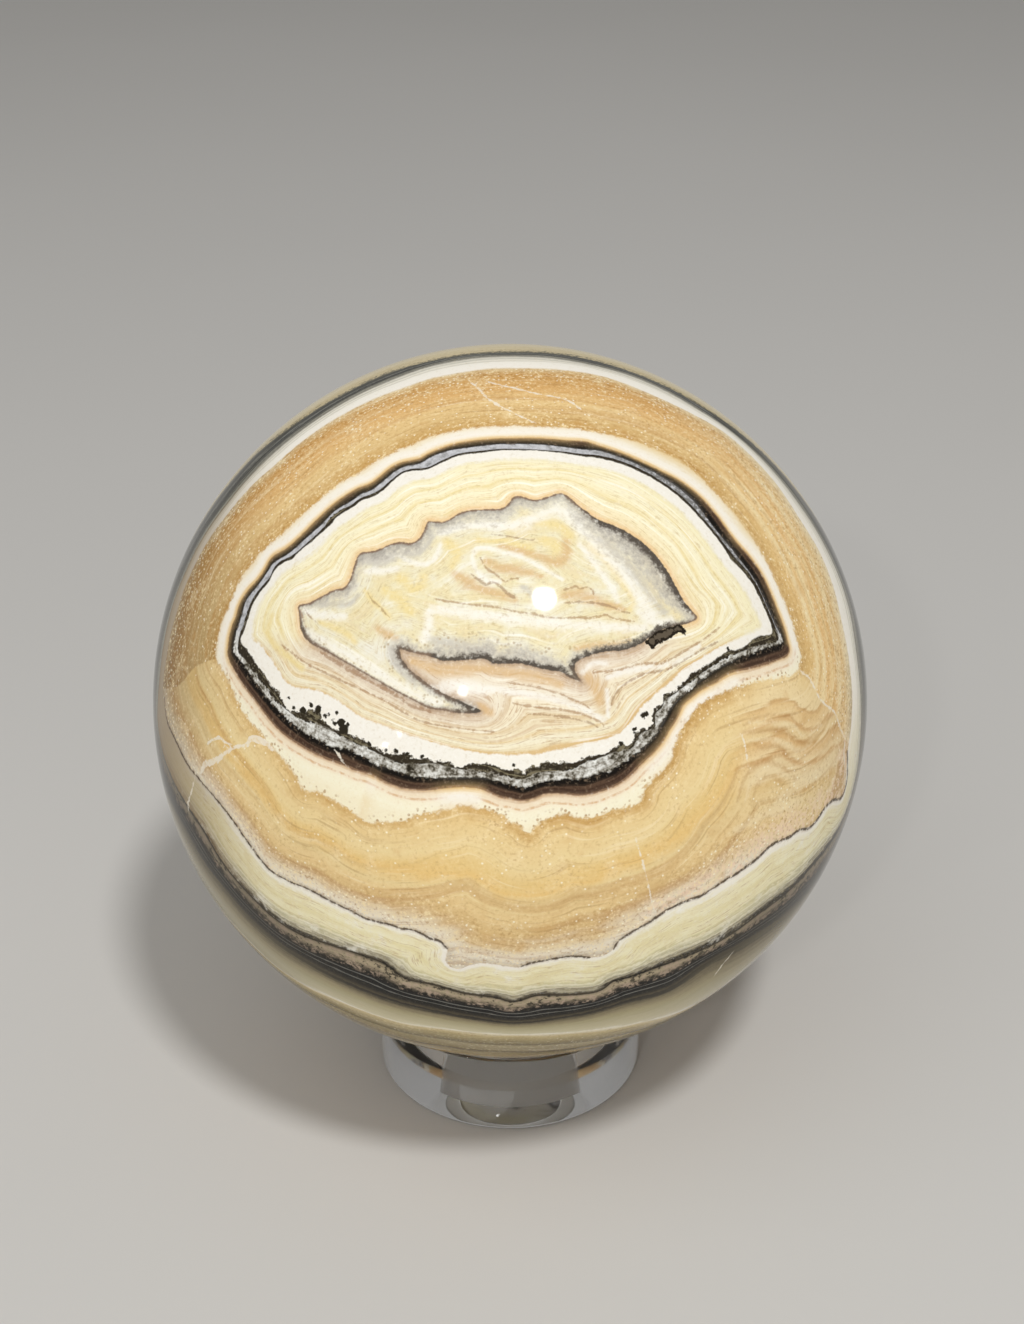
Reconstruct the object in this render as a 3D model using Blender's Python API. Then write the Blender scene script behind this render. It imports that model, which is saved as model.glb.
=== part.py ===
"""Banded onyx sphere resting on a short clear ring stand.

Metres, +Z up. The origin is the centre of the stand's base, on the surface that it stands on.
The side of the stone that shows the eye of the bands faces -Y.
"""

import math

import bmesh
import bpy
from mathutils import Vector

# Driving dimensions
SPHERE_RADIUS = 0.050
RING_OUTER_RADIUS = 0.020
RING_BORE_RADIUS = 0.011
RING_HEIGHT = 0.0127
SEAT_WIDTH = 0.0010  # of the sloped seat round the top of the bore
EDGE_ROUND = 0.0004  # of the ring's polished edges
REST_GAP = 0.0003  # between the stone and its seat

# Fineness of the round shapes
SPHERE_SUBDIVISIONS = 5
RING_SEGMENTS = 72
EDGE_SEGMENTS = 2

# Below this angle a crease is smooth, and the seat's own shallow crease isn't rounded
CREASE_ANGLE = math.radians(30)

# Where the stone touches its seat, seen in a section through the axis
SEAT_OUTER_RADIUS = RING_BORE_RADIUS + SEAT_WIDTH
CONTACT_RADIUS = RING_BORE_RADIUS + SEAT_WIDTH / 2
SEAT_SLOPE = CONTACT_RADIUS / math.sqrt(SPHERE_RADIUS**2 - CONTACT_RADIUS**2)
SEAT_BOTTOM = RING_HEIGHT - SEAT_SLOPE * SEAT_WIDTH
CONTACT_HEIGHT = RING_HEIGHT - SEAT_SLOPE * SEAT_WIDTH / 2
SPHERE_CENTRE_HEIGHT = CONTACT_HEIGHT + math.sqrt(SPHERE_RADIUS**2 - CONTACT_RADIUS**2) + REST_GAP


def clear_scene():
    for old in list(bpy.data.objects):
        bpy.data.objects.remove(old, do_unlink=True)


def plain_material(name, colour, roughness, **inputs):
    """A Principled BSDF of one colour, with any other inputs by their names."""
    material = bpy.data.materials.new(name)
    material.use_nodes = True
    shader = material.node_tree.nodes["Principled BSDF"]
    shader.inputs["Base Color"].default_value = (*colour, 1.0)
    shader.inputs["Roughness"].default_value = roughness
    shader.inputs["Metallic"].default_value = 0.0
    for socket, value in inputs.items():
        shader.inputs[socket.replace("_", " ")].default_value = value
    return material


def add_object(name, bm, material):
    """Makes the named object of a bmesh, shaded smooth up to the crease angle."""
    bmesh.ops.recalc_face_normals(bm, faces=bm.faces)
    mesh = bpy.data.meshes.new(name)
    bm.to_mesh(mesh)
    bm.free()
    mesh.shade_smooth()
    mesh.set_sharp_from_angle(angle=CREASE_ANGLE)
    mesh.materials.append(material)
    made = bpy.data.objects.new(name, mesh)
    bpy.context.scene.collection.objects.link(made)
    return made


def onyx_sphere():
    """The polished stone, one solid ball."""
    bm = bmesh.new()
    bmesh.ops.create_icosphere(bm, subdivisions=SPHERE_SUBDIVISIONS, radius=SPHERE_RADIUS)
    cream = plain_material("banded_onyx", colour=(0.72, 0.55, 0.31), roughness=0.08)
    stone = add_object("onyx_sphere", bm, cream)
    stone.location = (0.0, 0.0, SPHERE_CENTRE_HEIGHT)
    return stone


def ring_stand():
    """The thick-walled ring: a closed section turned about Z, with its sharp edges eased."""
    section = [
        (RING_BORE_RADIUS, 0.0),
        (RING_OUTER_RADIUS, 0.0),
        (RING_OUTER_RADIUS, RING_HEIGHT),
        (SEAT_OUTER_RADIUS, RING_HEIGHT),
        (RING_BORE_RADIUS, SEAT_BOTTOM),
    ]
    bm = bmesh.new()
    corners = [bm.verts.new((radius, 0.0, height)) for radius, height in section]
    edges = [bm.edges.new(pair) for pair in zip(corners, corners[1:] + corners[:1])]
    bmesh.ops.spin(
        bm,
        geom=corners + edges,
        cent=Vector((0.0, 0.0, 0.0)),
        axis=Vector((0.0, 0.0, 1.0)),
        angle=math.tau,
        steps=RING_SEGMENTS,
        use_merge=True,
    )
    clear = plain_material(
        "clear_acrylic",
        colour=(0.96, 0.97, 0.97),
        roughness=0.03,
        Transmission_Weight=1.0,
        IOR=1.49,
    )
    ring = add_object("ring_stand", bm, clear)
    eased = ring.modifiers.new("eased_edges", "BEVEL")
    eased.width = EDGE_ROUND
    eased.segments = EDGE_SEGMENTS
    eased.limit_method = "ANGLE"
    eased.angle_limit = CREASE_ANGLE
    return ring


clear_scene()
onyx_sphere()
ring_stand()
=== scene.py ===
"""Looks of the banded onyx sphere on its clear ring stand.

The bands of the stone are lines drawn over the photograph. Each is turned into a
distance that is kept on the points of the stone's mesh, and the shader colours the stone from
these distances.
"""

import math

import bmesh
import bpy
import numpy as np
from mathutils import Euler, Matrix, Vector


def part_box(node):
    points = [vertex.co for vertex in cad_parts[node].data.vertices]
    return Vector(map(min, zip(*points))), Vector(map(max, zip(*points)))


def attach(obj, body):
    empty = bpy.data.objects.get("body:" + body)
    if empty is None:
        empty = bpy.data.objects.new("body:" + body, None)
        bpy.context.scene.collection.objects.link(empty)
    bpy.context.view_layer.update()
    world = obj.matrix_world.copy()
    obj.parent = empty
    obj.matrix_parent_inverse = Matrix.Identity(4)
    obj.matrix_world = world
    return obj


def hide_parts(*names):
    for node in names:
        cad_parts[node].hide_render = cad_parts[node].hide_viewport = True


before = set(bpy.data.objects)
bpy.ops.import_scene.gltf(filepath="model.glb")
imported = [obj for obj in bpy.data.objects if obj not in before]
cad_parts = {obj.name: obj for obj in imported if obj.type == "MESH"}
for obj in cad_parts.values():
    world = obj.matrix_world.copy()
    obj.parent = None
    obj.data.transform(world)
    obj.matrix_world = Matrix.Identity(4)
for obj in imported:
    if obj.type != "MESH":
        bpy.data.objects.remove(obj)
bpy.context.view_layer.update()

# The photograph: its size in pixels, and the outline of the stone in it
IMAGE_WIDTH = 1024
IMAGE_HEIGHT = 1324
STONE_X = 509.8
STONE_Y = 699.5
STONE_RADIUS_PIXELS = 357.0

# The camera, in radii of the stone from its centre and degrees above the horizon
CAMERA_DISTANCE = 5.75
CAMERA_ELEVATION = 29.0
SENSOR_SIZE = 36.0  # mm, along the image's long side
CLIP_START = 0.01

lowest, highest = (np.array(corner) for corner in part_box("onyx_sphere"))
CENTRE = (lowest + highest) / 2
RADIUS = float(highest[2] - lowest[2]) / 2

FOCAL_PIXELS = STONE_RADIUS_PIXELS * math.sqrt(CAMERA_DISTANCE**2 - 1)
PITCH = math.radians(90 - CAMERA_ELEVATION) + math.atan((STONE_Y - IMAGE_HEIGHT / 2) / FOCAL_PIXELS)
YAW = math.atan((STONE_X - IMAGE_WIDTH / 2) / FOCAL_PIXELS)
CAMERA_TURN = np.array(Euler((PITCH, 0.0, YAW)).to_matrix())

# The face of the stone that looks at the camera: its middle, and its right and up
ELEVATION = math.radians(CAMERA_ELEVATION)
FACE = np.array((0.0, -math.cos(ELEVATION), math.sin(ELEVATION)))
FACE_RIGHT = np.array((1.0, 0.0, 0.0))
FACE_UP = np.cross(FACE, FACE_RIGHT)
EYE = CENTRE + CAMERA_DISTANCE * RADIUS * FACE

# Distances over the stone are in the photograph's pixels, 0.14 mm each
PIXELS_PER_METRE = STONE_RADIUS_PIXELS / RADIUS

# Bands near the stone's rim, as o'clock round the face in degrees and degrees from its middle
BLACK_INNER = [
    (0, 65.7), (8, 66.3), (15, 66.6), (22, 67.4), (34, 67.2), (44, 68.4), (55, 69), (66, 70.2),
    (74, 71), (82, 69.3), (90, 70), (97, 72), (103, 73.4), (110, 72), (115, 67.8), (119, 64.5),
    (124, 61.7), (130, 57.8), (138, 55), (145, 52.1), (150.5, 50.2), (157, 49.1), (160, 48.6),
    (163, 49.9), (168, 49.1), (175, 47.8), (179.5, 49.2), (182.5, 48.2), (189, 47.9), (195, 47.4),
    (200.5, 48), (205.5, 46.6), (211.5, 47.8), (217, 50), (221.5, 52.6), (226.5, 54.8),
    (233.5, 56.5), (241, 58.5), (247, 59.4), (252, 62.5), (256.5, 66.1), (262, 70), (267, 71.5),
    (273, 70), (280, 69.7), (286.5, 69.3), (292, 68.2), (297, 67.6), (305.5, 65.6), (314, 64.7),
    (321.5, 64), (331, 64), (340, 64.4), (347, 65.6), (353.5, 65.9),
]
BLACK_OUTER = [
    (0, 67.7), (8, 68.6), (15, 69), (22, 69.2), (33.5, 69.9), (43, 71.8), (54, 74), (65, 79),
    (76, 82), (90, 82), (104, 82), (118.5, 79.5), (122.5, 73.8), (127, 68.7), (135.5, 61.4),
    (143.5, 57.5), (151, 57.9), (158.5, 55.6), (165, 55.4), (172, 55.2), (179.5, 55.6),
    (185.5, 54.7), (193, 54.5), (201, 55.3), (209, 56.5), (217, 58.4), (224, 60.7), (231.5, 62.6),
    (237, 63.9), (242.5, 66.3), (248, 68.2), (253.5, 73), (258, 80), (266, 84), (280, 84),
    (291, 80.5), (298, 76.5), (306, 73.9), (314, 72.4), (321, 69.4), (330, 68), (339.5, 68.4),
    (347, 67.9), (353.5, 67.8),
]
PALE_LOOP = [
    (0, 86), (30, 88), (60, 90), (90, 92), (115, 90), (135, 84), (147.5, 76), (158, 67),
    (164.5, 63.4), (171.5, 61.3), (178.5, 60.3), (185, 60.1), (192, 60.7), (199, 62.9),
    (206, 64.6), (211.5, 66.5), (216.5, 70), (222.5, 72.8), (230, 74), (237, 78.5), (248, 84),
    (265, 90), (290, 92), (320, 88), (340, 86),
]

# Outline of the tan crystalline body
TAN_OUTER = [
    (163.2, 694), (164, 676), (167, 655), (171, 633), (177.5, 610), (185, 587), (195, 565),
    (210, 538), (228, 513.5), (250, 487.5), (275, 465), (299, 444), (326, 425), (351, 410.5),
    (375, 399), (403, 388.5), (431, 379), (455, 374), (486, 369.5), (520, 368.5), (554, 369.7),
    (585, 373), (611, 379), (640, 390), (667, 401.7), (692, 414), (723, 431.7), (752, 457),
    (777, 485), (798, 516.7), (820, 553), (832, 583), (841, 619), (849, 662), (852, 700),
    (851, 725), (847, 755), (846, 777), (843, 797), (831, 801), (822, 812), (811, 826),
    (799, 830), (789, 837), (771, 845.5), (753, 862), (736, 874), (711, 890), (700, 896),
    (679, 904), (658, 916), (640, 927), (622, 938.5), (614, 949), (601, 956.5), (589, 957.5),
    (571, 956.3), (545, 960.5), (530, 963), (519, 967.5), (507, 966.5), (485, 963), (470, 965.5),
    (456, 969), (446, 962), (447, 949), (440, 941), (421, 933), (410, 929.5), (398, 928),
    (379, 921), (367, 919), (350, 910.5), (331, 901), (310, 890.3), (279, 876.5), (269, 869),
    (258, 855.5), (246, 839.5), (219, 802.5), (200, 780), (190, 768), (181, 749), (172, 732),
    (166, 714),
]
# Where the tan body meets the cream band round the eye
TAN_INNER = [
    (216.5, 656), (219, 637), (222, 624), (229, 608), (236, 591), (241, 580), (250, 567),
    (260, 555), (276, 540.5), (296, 522), (312, 507), (329, 493), (346, 480), (358, 475),
    (368, 467), (387, 456.5), (410, 446.5), (430, 438), (450, 433), (470, 429), (500, 427),
    (530, 427), (555, 428.5), (585, 431), (610, 436), (640, 443.5), (670, 457), (692, 470),
    (713, 491.5), (730, 510), (752, 538.5), (767, 565), (778, 590), (787, 610), (796, 640),
    (800, 658), (796, 671), (782, 676), (758, 680), (734, 687), (711, 696), (702, 701.5),
    (694, 709), (682, 727), (673, 745), (670, 758), (662, 769), (652, 778), (643, 789),
    (640, 800), (628, 806), (607, 811), (590, 817.5), (565, 813), (547, 818), (538, 823),
    (529, 832), (521, 825), (510, 819.5), (497, 812), (480, 807), (460, 805), (444, 809.5),
    (418, 814), (405, 819.5), (380, 821), (367, 821), (355, 812), (340, 803), (317, 790),
    (304, 788.5), (296, 775), (283, 757.5), (265, 737), (246, 714), (235, 694), (230, 680),
    (222, 667),
]

# The eye: its dark outline, from outside to inside, and the white that it holds
EYE_OUTER = [
    (227.8, 655), (229, 639), (232, 627), (236, 617), (240, 604), (248, 591), (258, 580),
    (265, 570), (272, 558), (286, 549), (300, 537), (317, 520), (331, 507), (349, 494),
    (360, 488), (370, 484.5), (378, 479), (393, 467), (402, 463), (420, 459), (430, 453.5),
    (450, 446), (466, 442.5), (492, 439.5), (515, 439), (540, 439), (567, 441), (585, 442),
    (600, 446.5), (620, 453), (640, 461.5), (660, 471), (680, 481.5), (700, 497), (715, 514),
    (734, 540), (749, 557), (761, 574), (770, 593), (778, 613), (783, 626), (787, 640),
    (789, 652), (772, 661.5), (751, 667.5), (730, 672.5), (716, 681), (700, 690), (691, 697),
    (683, 704), (676, 718), (668, 731), (663, 740), (651, 754), (641, 763), (631, 773.5),
    (621, 781.5), (609, 787.5), (595, 792.5), (582, 795), (555, 793), (543, 794), (533, 798),
    (521, 800), (510, 798), (500, 796), (491, 792), (482, 788), (465, 786), (447, 787),
    (425, 789.5), (413, 789), (400, 787), (385, 781), (370, 773.5), (358, 770.5), (343, 764),
    (330, 759), (316, 753), (303, 746), (292, 739.5), (282, 732), (273, 723), (264, 711.5),
    (254, 698), (242, 682), (233, 667),
]
SILVER_OUTER = [
    (234, 650.5), (235.5, 636), (239, 624), (242.5, 613), (246, 601), (254, 590), (262, 580),
    (268, 571), (273, 563.5), (289, 553.5), (303, 541), (322, 524), (335, 511), (354, 499.5),
    (361, 494), (371, 490.5), (387, 478), (395, 471.5), (405, 466.5), (421, 463), (431, 457),
    (450, 450.5), (470, 447.5), (490, 445), (515, 444), (540, 444.5), (560, 446.5), (580, 449),
    (600, 450.5), (620, 456.5), (640, 464.5), (660, 474.5), (679, 487), (697, 503),
    (713, 524.5), (731, 546.5), (744, 563), (756, 579.5), (765, 598), (773.5, 618),
    (779.5, 631), (782.3, 641), (763, 649), (743, 656.5), (722, 666), (706, 676), (691, 688),
    (677, 700.5), (668, 712), (662, 724), (652, 739), (640, 750.5), (623, 763), (612, 770),
    (600, 773), (583, 778), (560, 779.5), (541, 781.5), (527, 787), (520, 787), (501, 781.5),
    (480, 777.5), (450, 777.5), (413, 776.5), (400, 772), (381, 767), (365, 758), (347, 749),
    (333, 746.5), (315, 738.5), (296, 726), (276.5, 708.5), (258, 686.5), (243, 664),
]
SILVER_INNER = [
    (238, 648), (239.5, 636), (244, 622), (248, 610), (251, 602), (257, 592.5), (264.5, 583.5),
    (270.5, 576), (274, 568), (279, 562.5), (293, 555), (307, 543), (323, 528), (334, 514.5),
    (352, 504.5), (361, 498), (370, 494.7), (380, 489.5), (393, 478.5), (402, 472), (412, 469),
    (428, 467.3), (442, 460.5), (459, 453.7), (480, 451), (500, 449), (540, 450), (560, 451.3),
    (580, 454), (600, 456.3), (620, 461.5), (640, 470), (660, 481.5), (684, 499.5),
    (702, 518.5), (716, 535), (734, 558), (748, 573.5), (758.5, 590.5), (766, 608),
    (772.5, 623), (777.5, 640), (762, 645), (743, 651), (725, 659), (704, 671.5), (688, 683.5),
    (672, 695.5), (665, 700), (662, 708), (656, 713), (654, 727), (641, 733.5), (637, 740),
    (631, 749), (614, 752.5), (600, 758), (585, 762.5), (575, 768.5), (551, 771), (537, 773),
    (529, 777.5), (521, 779), (500, 775), (470, 770.5), (450, 767.5), (435, 763.5), (412, 764),
    (395, 761), (378, 753.5), (360, 745), (345, 738.5), (325, 727), (300, 719), (288, 711),
    (272, 696), (258, 677), (246, 661),
]
EYE_INNER = [
    (240.5, 641), (244.5, 630), (248, 619), (251, 609), (254, 602), (260, 592.5), (268, 583),
    (273, 573.5), (277, 567.5), (283, 563), (292, 559), (297, 553.5), (310, 543), (324, 530.5),
    (332, 523.5), (336, 518), (353, 507), (362, 500.5), (371, 497.5), (382, 491.5), (396, 478.5),
    (404, 473), (412, 471), (429, 469), (440, 463.5), (460, 455.5), (480, 453), (500, 450.5),
    (541, 451), (561, 453), (580, 456), (600, 458.5), (620, 463.5), (640, 472), (660, 483),
    (683, 500.5), (702, 520.5), (716, 537), (727.5, 554), (732.5, 561.5), (739, 567.5),
    (752, 583.5), (761, 601), (768, 617), (771.5, 626), (772, 633.5), (759, 636), (752, 640),
    (746, 645.5), (739, 649.5), (731, 649.5), (720, 656), (707, 664.5), (700, 669.7),
    (691, 673.5), (687, 678.5), (676, 689), (663, 697.5), (662, 704), (653, 712),
    (652.5, 719), (651, 726), (638, 730.5), (635, 737), (629, 745), (621, 745), (610, 751),
    (601, 754.5), (590, 755.5), (577, 761), (561, 763), (543, 763), (538, 766.5), (530, 767),
    (523, 773), (517, 769.5), (504, 769.5), (491, 763.7), (470, 763.7), (459, 766.5),
    (450, 762.5), (434, 761), (425, 760), (413, 757.5), (406, 754.5), (395, 753.5), (381, 751),
    (369, 743.7), (349, 733), (346, 727), (336, 730), (328, 725), (322, 719), (320, 710),
    (312, 711), (299, 711), (290, 711), (282, 698), (274, 687.5), (264, 675), (251, 655.5),
    (246, 648),
]
# The cloud inside the eye
CLOUD = [
    (298.5, 606), (310, 602.5), (323, 595.5), (335, 589.5), (344, 587.5), (349.5, 580),
    (354, 566), (358, 555.5), (361, 553), (376, 550.5), (391, 544), (400, 542.3), (411, 543.2),
    (419, 538.5), (424, 530), (428, 521.5), (441, 522), (449, 519.5), (462, 512), (482, 509.3),
    (501, 508.5), (507, 505), (514, 496.8), (520, 496), (535, 500), (548, 496.5), (561, 493),
    (568, 496.5), (582, 508), (600, 520), (621, 528.7), (639, 540), (655, 554.5), (668, 572),
    (678, 590.5), (686, 603.5), (697, 618), (690, 623), (677, 626), (660, 631), (648, 639),
    (638, 645), (624, 650), (604, 652), (588, 656.5), (577, 662), (574.5, 668), (578, 677),
    (583, 682.5), (571, 678), (560, 672), (543, 669), (520, 663.5), (502, 664), (492, 663),
    (486, 659), (470, 660), (441, 660.5), (431, 656.5), (409, 652), (400, 649), (402, 659),
    (414, 673), (433, 687), (447, 695), (462, 701.5), (481, 711), (464, 713.5), (445, 711),
    (430, 708.5), (409, 698.5), (390, 688.5), (368, 676), (345, 662.5), (323, 650), (309, 642),
    (301, 630), (299, 615),
]

# Faults that part the upper tan band from the lower tan body, hidden behind the eye between them
FAULTS = [
    (162, 690), (170, 687), (177.5, 686.3), (186.5, 677), (193, 669), (204, 662.5), (217, 658),
    (300, 640), (500, 620), (700, 640), (792, 655), (801, 671), (809.5, 678), (814, 687),
    (820, 699), (827, 706), (834.6, 712), (838, 721), (841, 730), (845, 740), (851, 742),
]
# The fold of the bands to the right of the eye
FOLD = [
    (640, 830), (655, 800), (672, 770), (690, 745), (708, 730), (725.5, 720.9), (743.2, 713.5),
    (758, 709), (772.7, 701.7), (784.5, 700.3), (794.8, 703.2), (802, 709.8), (809.5, 712.3),
    (817, 710.6), (823, 703), (835, 696), (850, 690),
]

# The inner edge of the white band that lines the eye
WHITE_INNER = [
    (252, 638), (253.5, 626), (257, 612), (263.5, 599), (272, 588), (281, 576), (291, 568),
    (302, 561), (318, 549), (334, 532), (352, 520), (366, 510), (384, 502), (400, 489), (412, 482),
    (430, 479), (446, 472), (462, 465), (482, 462.5), (500, 460), (540, 460.5), (560, 462.5),
    (580, 465.5), (600, 468.5), (617, 473), (636, 481), (654, 491), (676, 508), (695, 527),
    (708, 543), (719, 559), (731, 574), (743, 589), (751, 604), (758, 618), (760, 626),
    (750, 632), (738, 638), (724, 645), (711, 652), (697, 661), (686, 667.5), (676, 676),
    (664, 687), (655, 695), (645, 704), (636, 714), (628, 725), (620, 733), (608, 738),
    (598, 741), (585, 744), (570, 747), (555, 750), (540, 753.5), (525, 754.5), (505, 755),
    (490, 754), (475, 752), (460, 749), (440, 744), (420, 738), (400, 731.5), (380, 724),
    (360, 716.5), (350, 709), (335, 699), (320, 691.5), (305, 688.5), (292, 686), (283, 678),
    (277, 668), (269, 656), (262, 647), (255, 641),
]

# Dark hairlines along the lower edge of the tan body, each point with the line's width there
DARK_LINES = [
    [(164, 690, 0.8), (165.5, 712, 1.2), (168, 724, 1.8), (175.5, 740, 2), (184.5, 759, 2),
     (190, 768, 2), (200, 780, 1.6), (219, 802.5, 1.8), (233, 820.5, 2), (246, 839.5, 2.2),
     (256.5, 854, 2.4), (269, 869, 2), (285.5, 879.5, 1.6), (309, 889.5, 1.8), (331, 901.3, 1.8),
     (350, 910.5, 1.6), (367, 919, 2), (390, 924.5, 1.8), (399, 928, 1.8), (410.5, 929.7, 1.6),
     (421, 933.3, 1.6), (430, 938.5, 2.2), (440, 941, 2.2), (444, 945, 2), (447.7, 949.4, 1.2)],
    [(519, 967.6, 1), (530.5, 963.1, 1.8), (539.5, 961.2, 2), (560, 957.9, 1.8),
     (570, 956.4, 2), (579, 956.4, 2), (590, 957.7, 1.6)],
    [(613.8, 949.6, 1.6), (616.4, 943.8, 1.8), (622, 938.5, 2.2), (638, 928.5, 1.8),
     (649, 922.5, 1.8), (658, 916, 2.6), (668, 909.5, 2.2), (679.5, 904, 2.4), (690, 899.5, 2.6),
     (700.5, 896, 2.6), (710.5, 889.8, 1.6), (724.6, 880.6, 2.2), (736, 874, 2.4),
     (744.5, 868, 2.4), (753, 862, 2.8), (763, 853, 2.4), (771, 845.3, 3), (781, 840.4, 2),
     (789.5, 836.9, 3.4), (799.4, 829.8, 2.2), (809.3, 827.7, 2.4), (817, 820, 2.6),
     (822, 812, 3), (827, 805.5, 2.6), (833, 800.2, 2.4), (842, 797, 3), (846.5, 783, 2.6),
     (847.5, 765, 2), (847, 750, 1.6)],
]
# Thin brown laminae inside the eye, in two sets so that lines of one set are never close together
BROWN_LINES = [
    [(433, 598, 0.8), (442, 600.3, 1.4), (460, 603, 1.3), (470, 604.6, 1.2), (484, 605.8, 1.6),
     (500, 608, 1.2), (512, 610.8, 1.6), (520, 612.5, 1.8), (531, 613.5, 1.4), (545, 616.5, 1.2),
     (560, 618.3, 1), (578, 617.5, 1.4), (590, 618, 1.4), (600, 616.5, 1.2), (606, 614.5, 1.2),
     (612, 618, 1), (625, 620.3, 1.4), (636, 621.5, 0.8)],
    [(511, 703, 0.8), (528, 706, 1.2), (545, 708.3, 1.4), (563, 710, 1.6), (575, 712.3, 1.6),
     (592, 718, 1.4), (600, 722, 1.6), (605, 727, 0.8)],
    [(505, 682, 0.6), (520, 684.5, 0.8), (540, 688, 1.2), (551.5, 691.5, 1.2), (561, 694, 1.2),
     (570, 698.5, 1.1), (583, 704, 1.1), (592, 710, 0.7)],
    [(720, 627, 0.8), (701.5, 640.8, 1), (690, 647.7, 1.2), (670, 659.4, 1.4), (662, 662.7, 1.4),
     (650, 663.3, 1.6), (639, 663.8, 1.6), (630, 666.7, 1.6), (620, 669.6, 1.6), (609, 670.8, 1.4),
     (600, 671.9, 1.2), (592, 673, 0.9)],
    [(280, 644, 0.6), (288, 650, 1.2), (300, 659, 1.4), (312, 666.5, 1.3), (325, 673, 1.3),
     (340, 680, 1.2), (360, 689, 1.2), (375, 696, 1.3), (390, 704, 1.3), (402, 711.5, 1.3),
     (415, 718.5, 1.3), (430, 723.5, 1.2), (450, 727, 1.2), (470, 729.5, 1), (495, 732, 0.8)],
    [(480, 556, 1), (484, 565, 1.2), (489, 570.5, 1.6), (494, 573, 1.4), (500, 578, 1.6),
     (506, 581.5, 1.8), (510, 579, 1.4), (519, 578.5, 1)],
    [(563, 590, 0.8), (571, 588, 1.2), (576, 586, 1), (580, 589, 1), (586, 587, 1.2),
     (592, 590, 1.2), (594, 596, 0.8)],
    [(300.5, 608, 0.6), (303, 619, 1), (307, 629, 0.6)],
    [(640, 905, 0.8), (660, 893, 1.2), (676, 885, 1.4), (690, 880, 0.8)],
]
BROWN_LINES_BETWEEN = [
    [(528, 714, 0.8), (541, 714.6, 1.2), (554, 715.8, 1.4), (568, 717.5, 1.4), (580, 720.4, 1.3),
     (592, 724, 1.1), (599, 728, 0.8)],
    [(720, 640.8, 0.8), (701.5, 650, 1.1), (690, 656.9, 1.2), (667, 669.6, 1.4), (655, 671.9, 1.5),
     (644, 673.7, 1.5), (636, 677.7, 1.4), (629, 681.2, 1.3), (621, 688.1, 1.2), (615, 695, 1.1),
     (612, 701, 1), (611.5, 708, 0.7)],
    [(319, 651, 0.8), (330, 658.5, 2.4), (345, 667.5, 3.2), (356, 673, 3.6), (366, 679, 2.4),
     (378, 685.5, 2.6), (390, 692, 3.4), (400, 698, 2.4), (410, 705, 2), (420, 709, 1.8),
     (432, 712, 0.8)],
    [(470, 573, 0.8), (478, 579.5, 1.6), (486, 584, 2), (494, 582.5, 1.6), (500, 586, 1.6),
     (507, 593, 2.4), (516, 598, 2)],
    [(563, 603, 0.8), (580, 602, 1.2), (596, 603, 1.4), (612, 607, 1.3), (624, 612, 1.3),
     (631, 613, 0.8)],
    [(367, 591, 0.6), (372, 600, 1), (380, 607, 1.3), (385, 613, 1.2), (391, 619, 0.7)],
    [(304, 607, 0.6), (309, 616, 1), (317, 622, 0.6)],
    [(536, 538, 0.7), (533, 540, 1), (524, 539, 0.9), (510, 536.5, 0.8), (490, 534, 0.6)],
]
# Pale healed cracks, each point with the line's width there
PALE_LINES = [
    [(201, 772, 3), (205, 764, 5), (211, 762, 7), (218, 759, 5), (226, 752.6, 3),
     (232, 748.5, 3), (240, 746, 3), (247, 744, 4), (251, 739, 5), (257, 739.5, 7),
     (263, 742, 8), (268, 745, 5), (273, 751, 2)],
    [(207, 744, 1.5), (211.5, 740.4, 2), (219, 737.8, 2), (225, 742, 1.5), (232, 745, 1.5)],
    [(470, 382, 0.8), (478, 388, 2), (485, 396, 2.4), (493, 402, 2.4), (502, 407, 1.6),
     (511, 411.5, 1.2), (524, 418, 1), (538, 424, 0.8)],
    [(482, 380, 0.8), (500, 385, 1.2), (520, 389.5, 1.8), (538, 394, 1.2), (553, 396.5, 1.8),
     (568, 400.5, 1.5), (582, 410, 1)],
    [(196, 772, 1), (193, 786, 1), (189.5, 798, 1), (188, 806, 1.2), (189, 813, 1)],
    [(800, 671, 1), (809.5, 678, 1.2), (814, 687, 1.2), (820, 699, 1.6), (827, 706, 1.4),
     (834.6, 712, 1.4), (838, 721, 1.4), (841, 730, 1.6), (845, 740, 2.4), (844, 752, 2),
     (845, 770, 1.4), (844.5, 784, 1)],
    [(741, 733, 0.5), (745, 745, 0.7), (746.5, 756, 0.7), (748, 768, 0.5)],
    [(635, 836, 0.5), (639, 850, 0.7), (643, 862, 0.8), (646, 875, 0.6), (649, 888, 0.7),
     (652, 902, 0.6), (656, 914, 0.6)],
    [(333, 748, 0.6), (340, 757, 0.9), (347, 767, 0.8)],
    [(736, 948, 0.8), (728, 958, 1), (720, 968, 0.9), (713, 978, 0.8)],
]
# Black branching growths beside the lower edge of the eye: place and radius
DENDRITES = [
    (288.5, 698, 1.6), (294, 708, 1.5), (303, 710, 3), (311, 705.5, 2), (318, 709, 3),
    (325, 716, 1.5), (329, 714, 1), (337, 713, 1.8), (333, 719.5, 1.2), (341, 723, 3.6),
    (335, 723.5, 1.4), (347.5, 724, 1.4), (344, 729, 4), (363, 739.5, 1.2), (369, 744, 2),
    (386, 750, 1.5), (396, 751, 2), (407, 754, 2), (422, 757, 1.8), (643, 716, 2.6),
    (646, 714.5, 1.8), (634.5, 729, 1.3), (635, 733, 1.4), (621.5, 743.5, 2.2), (513, 765, 1.2),
    (728, 649, 1.6), (313, 787, 0.9), (318, 789, 0.9), (332, 795, 1), (338, 798, 1.1),
]
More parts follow.
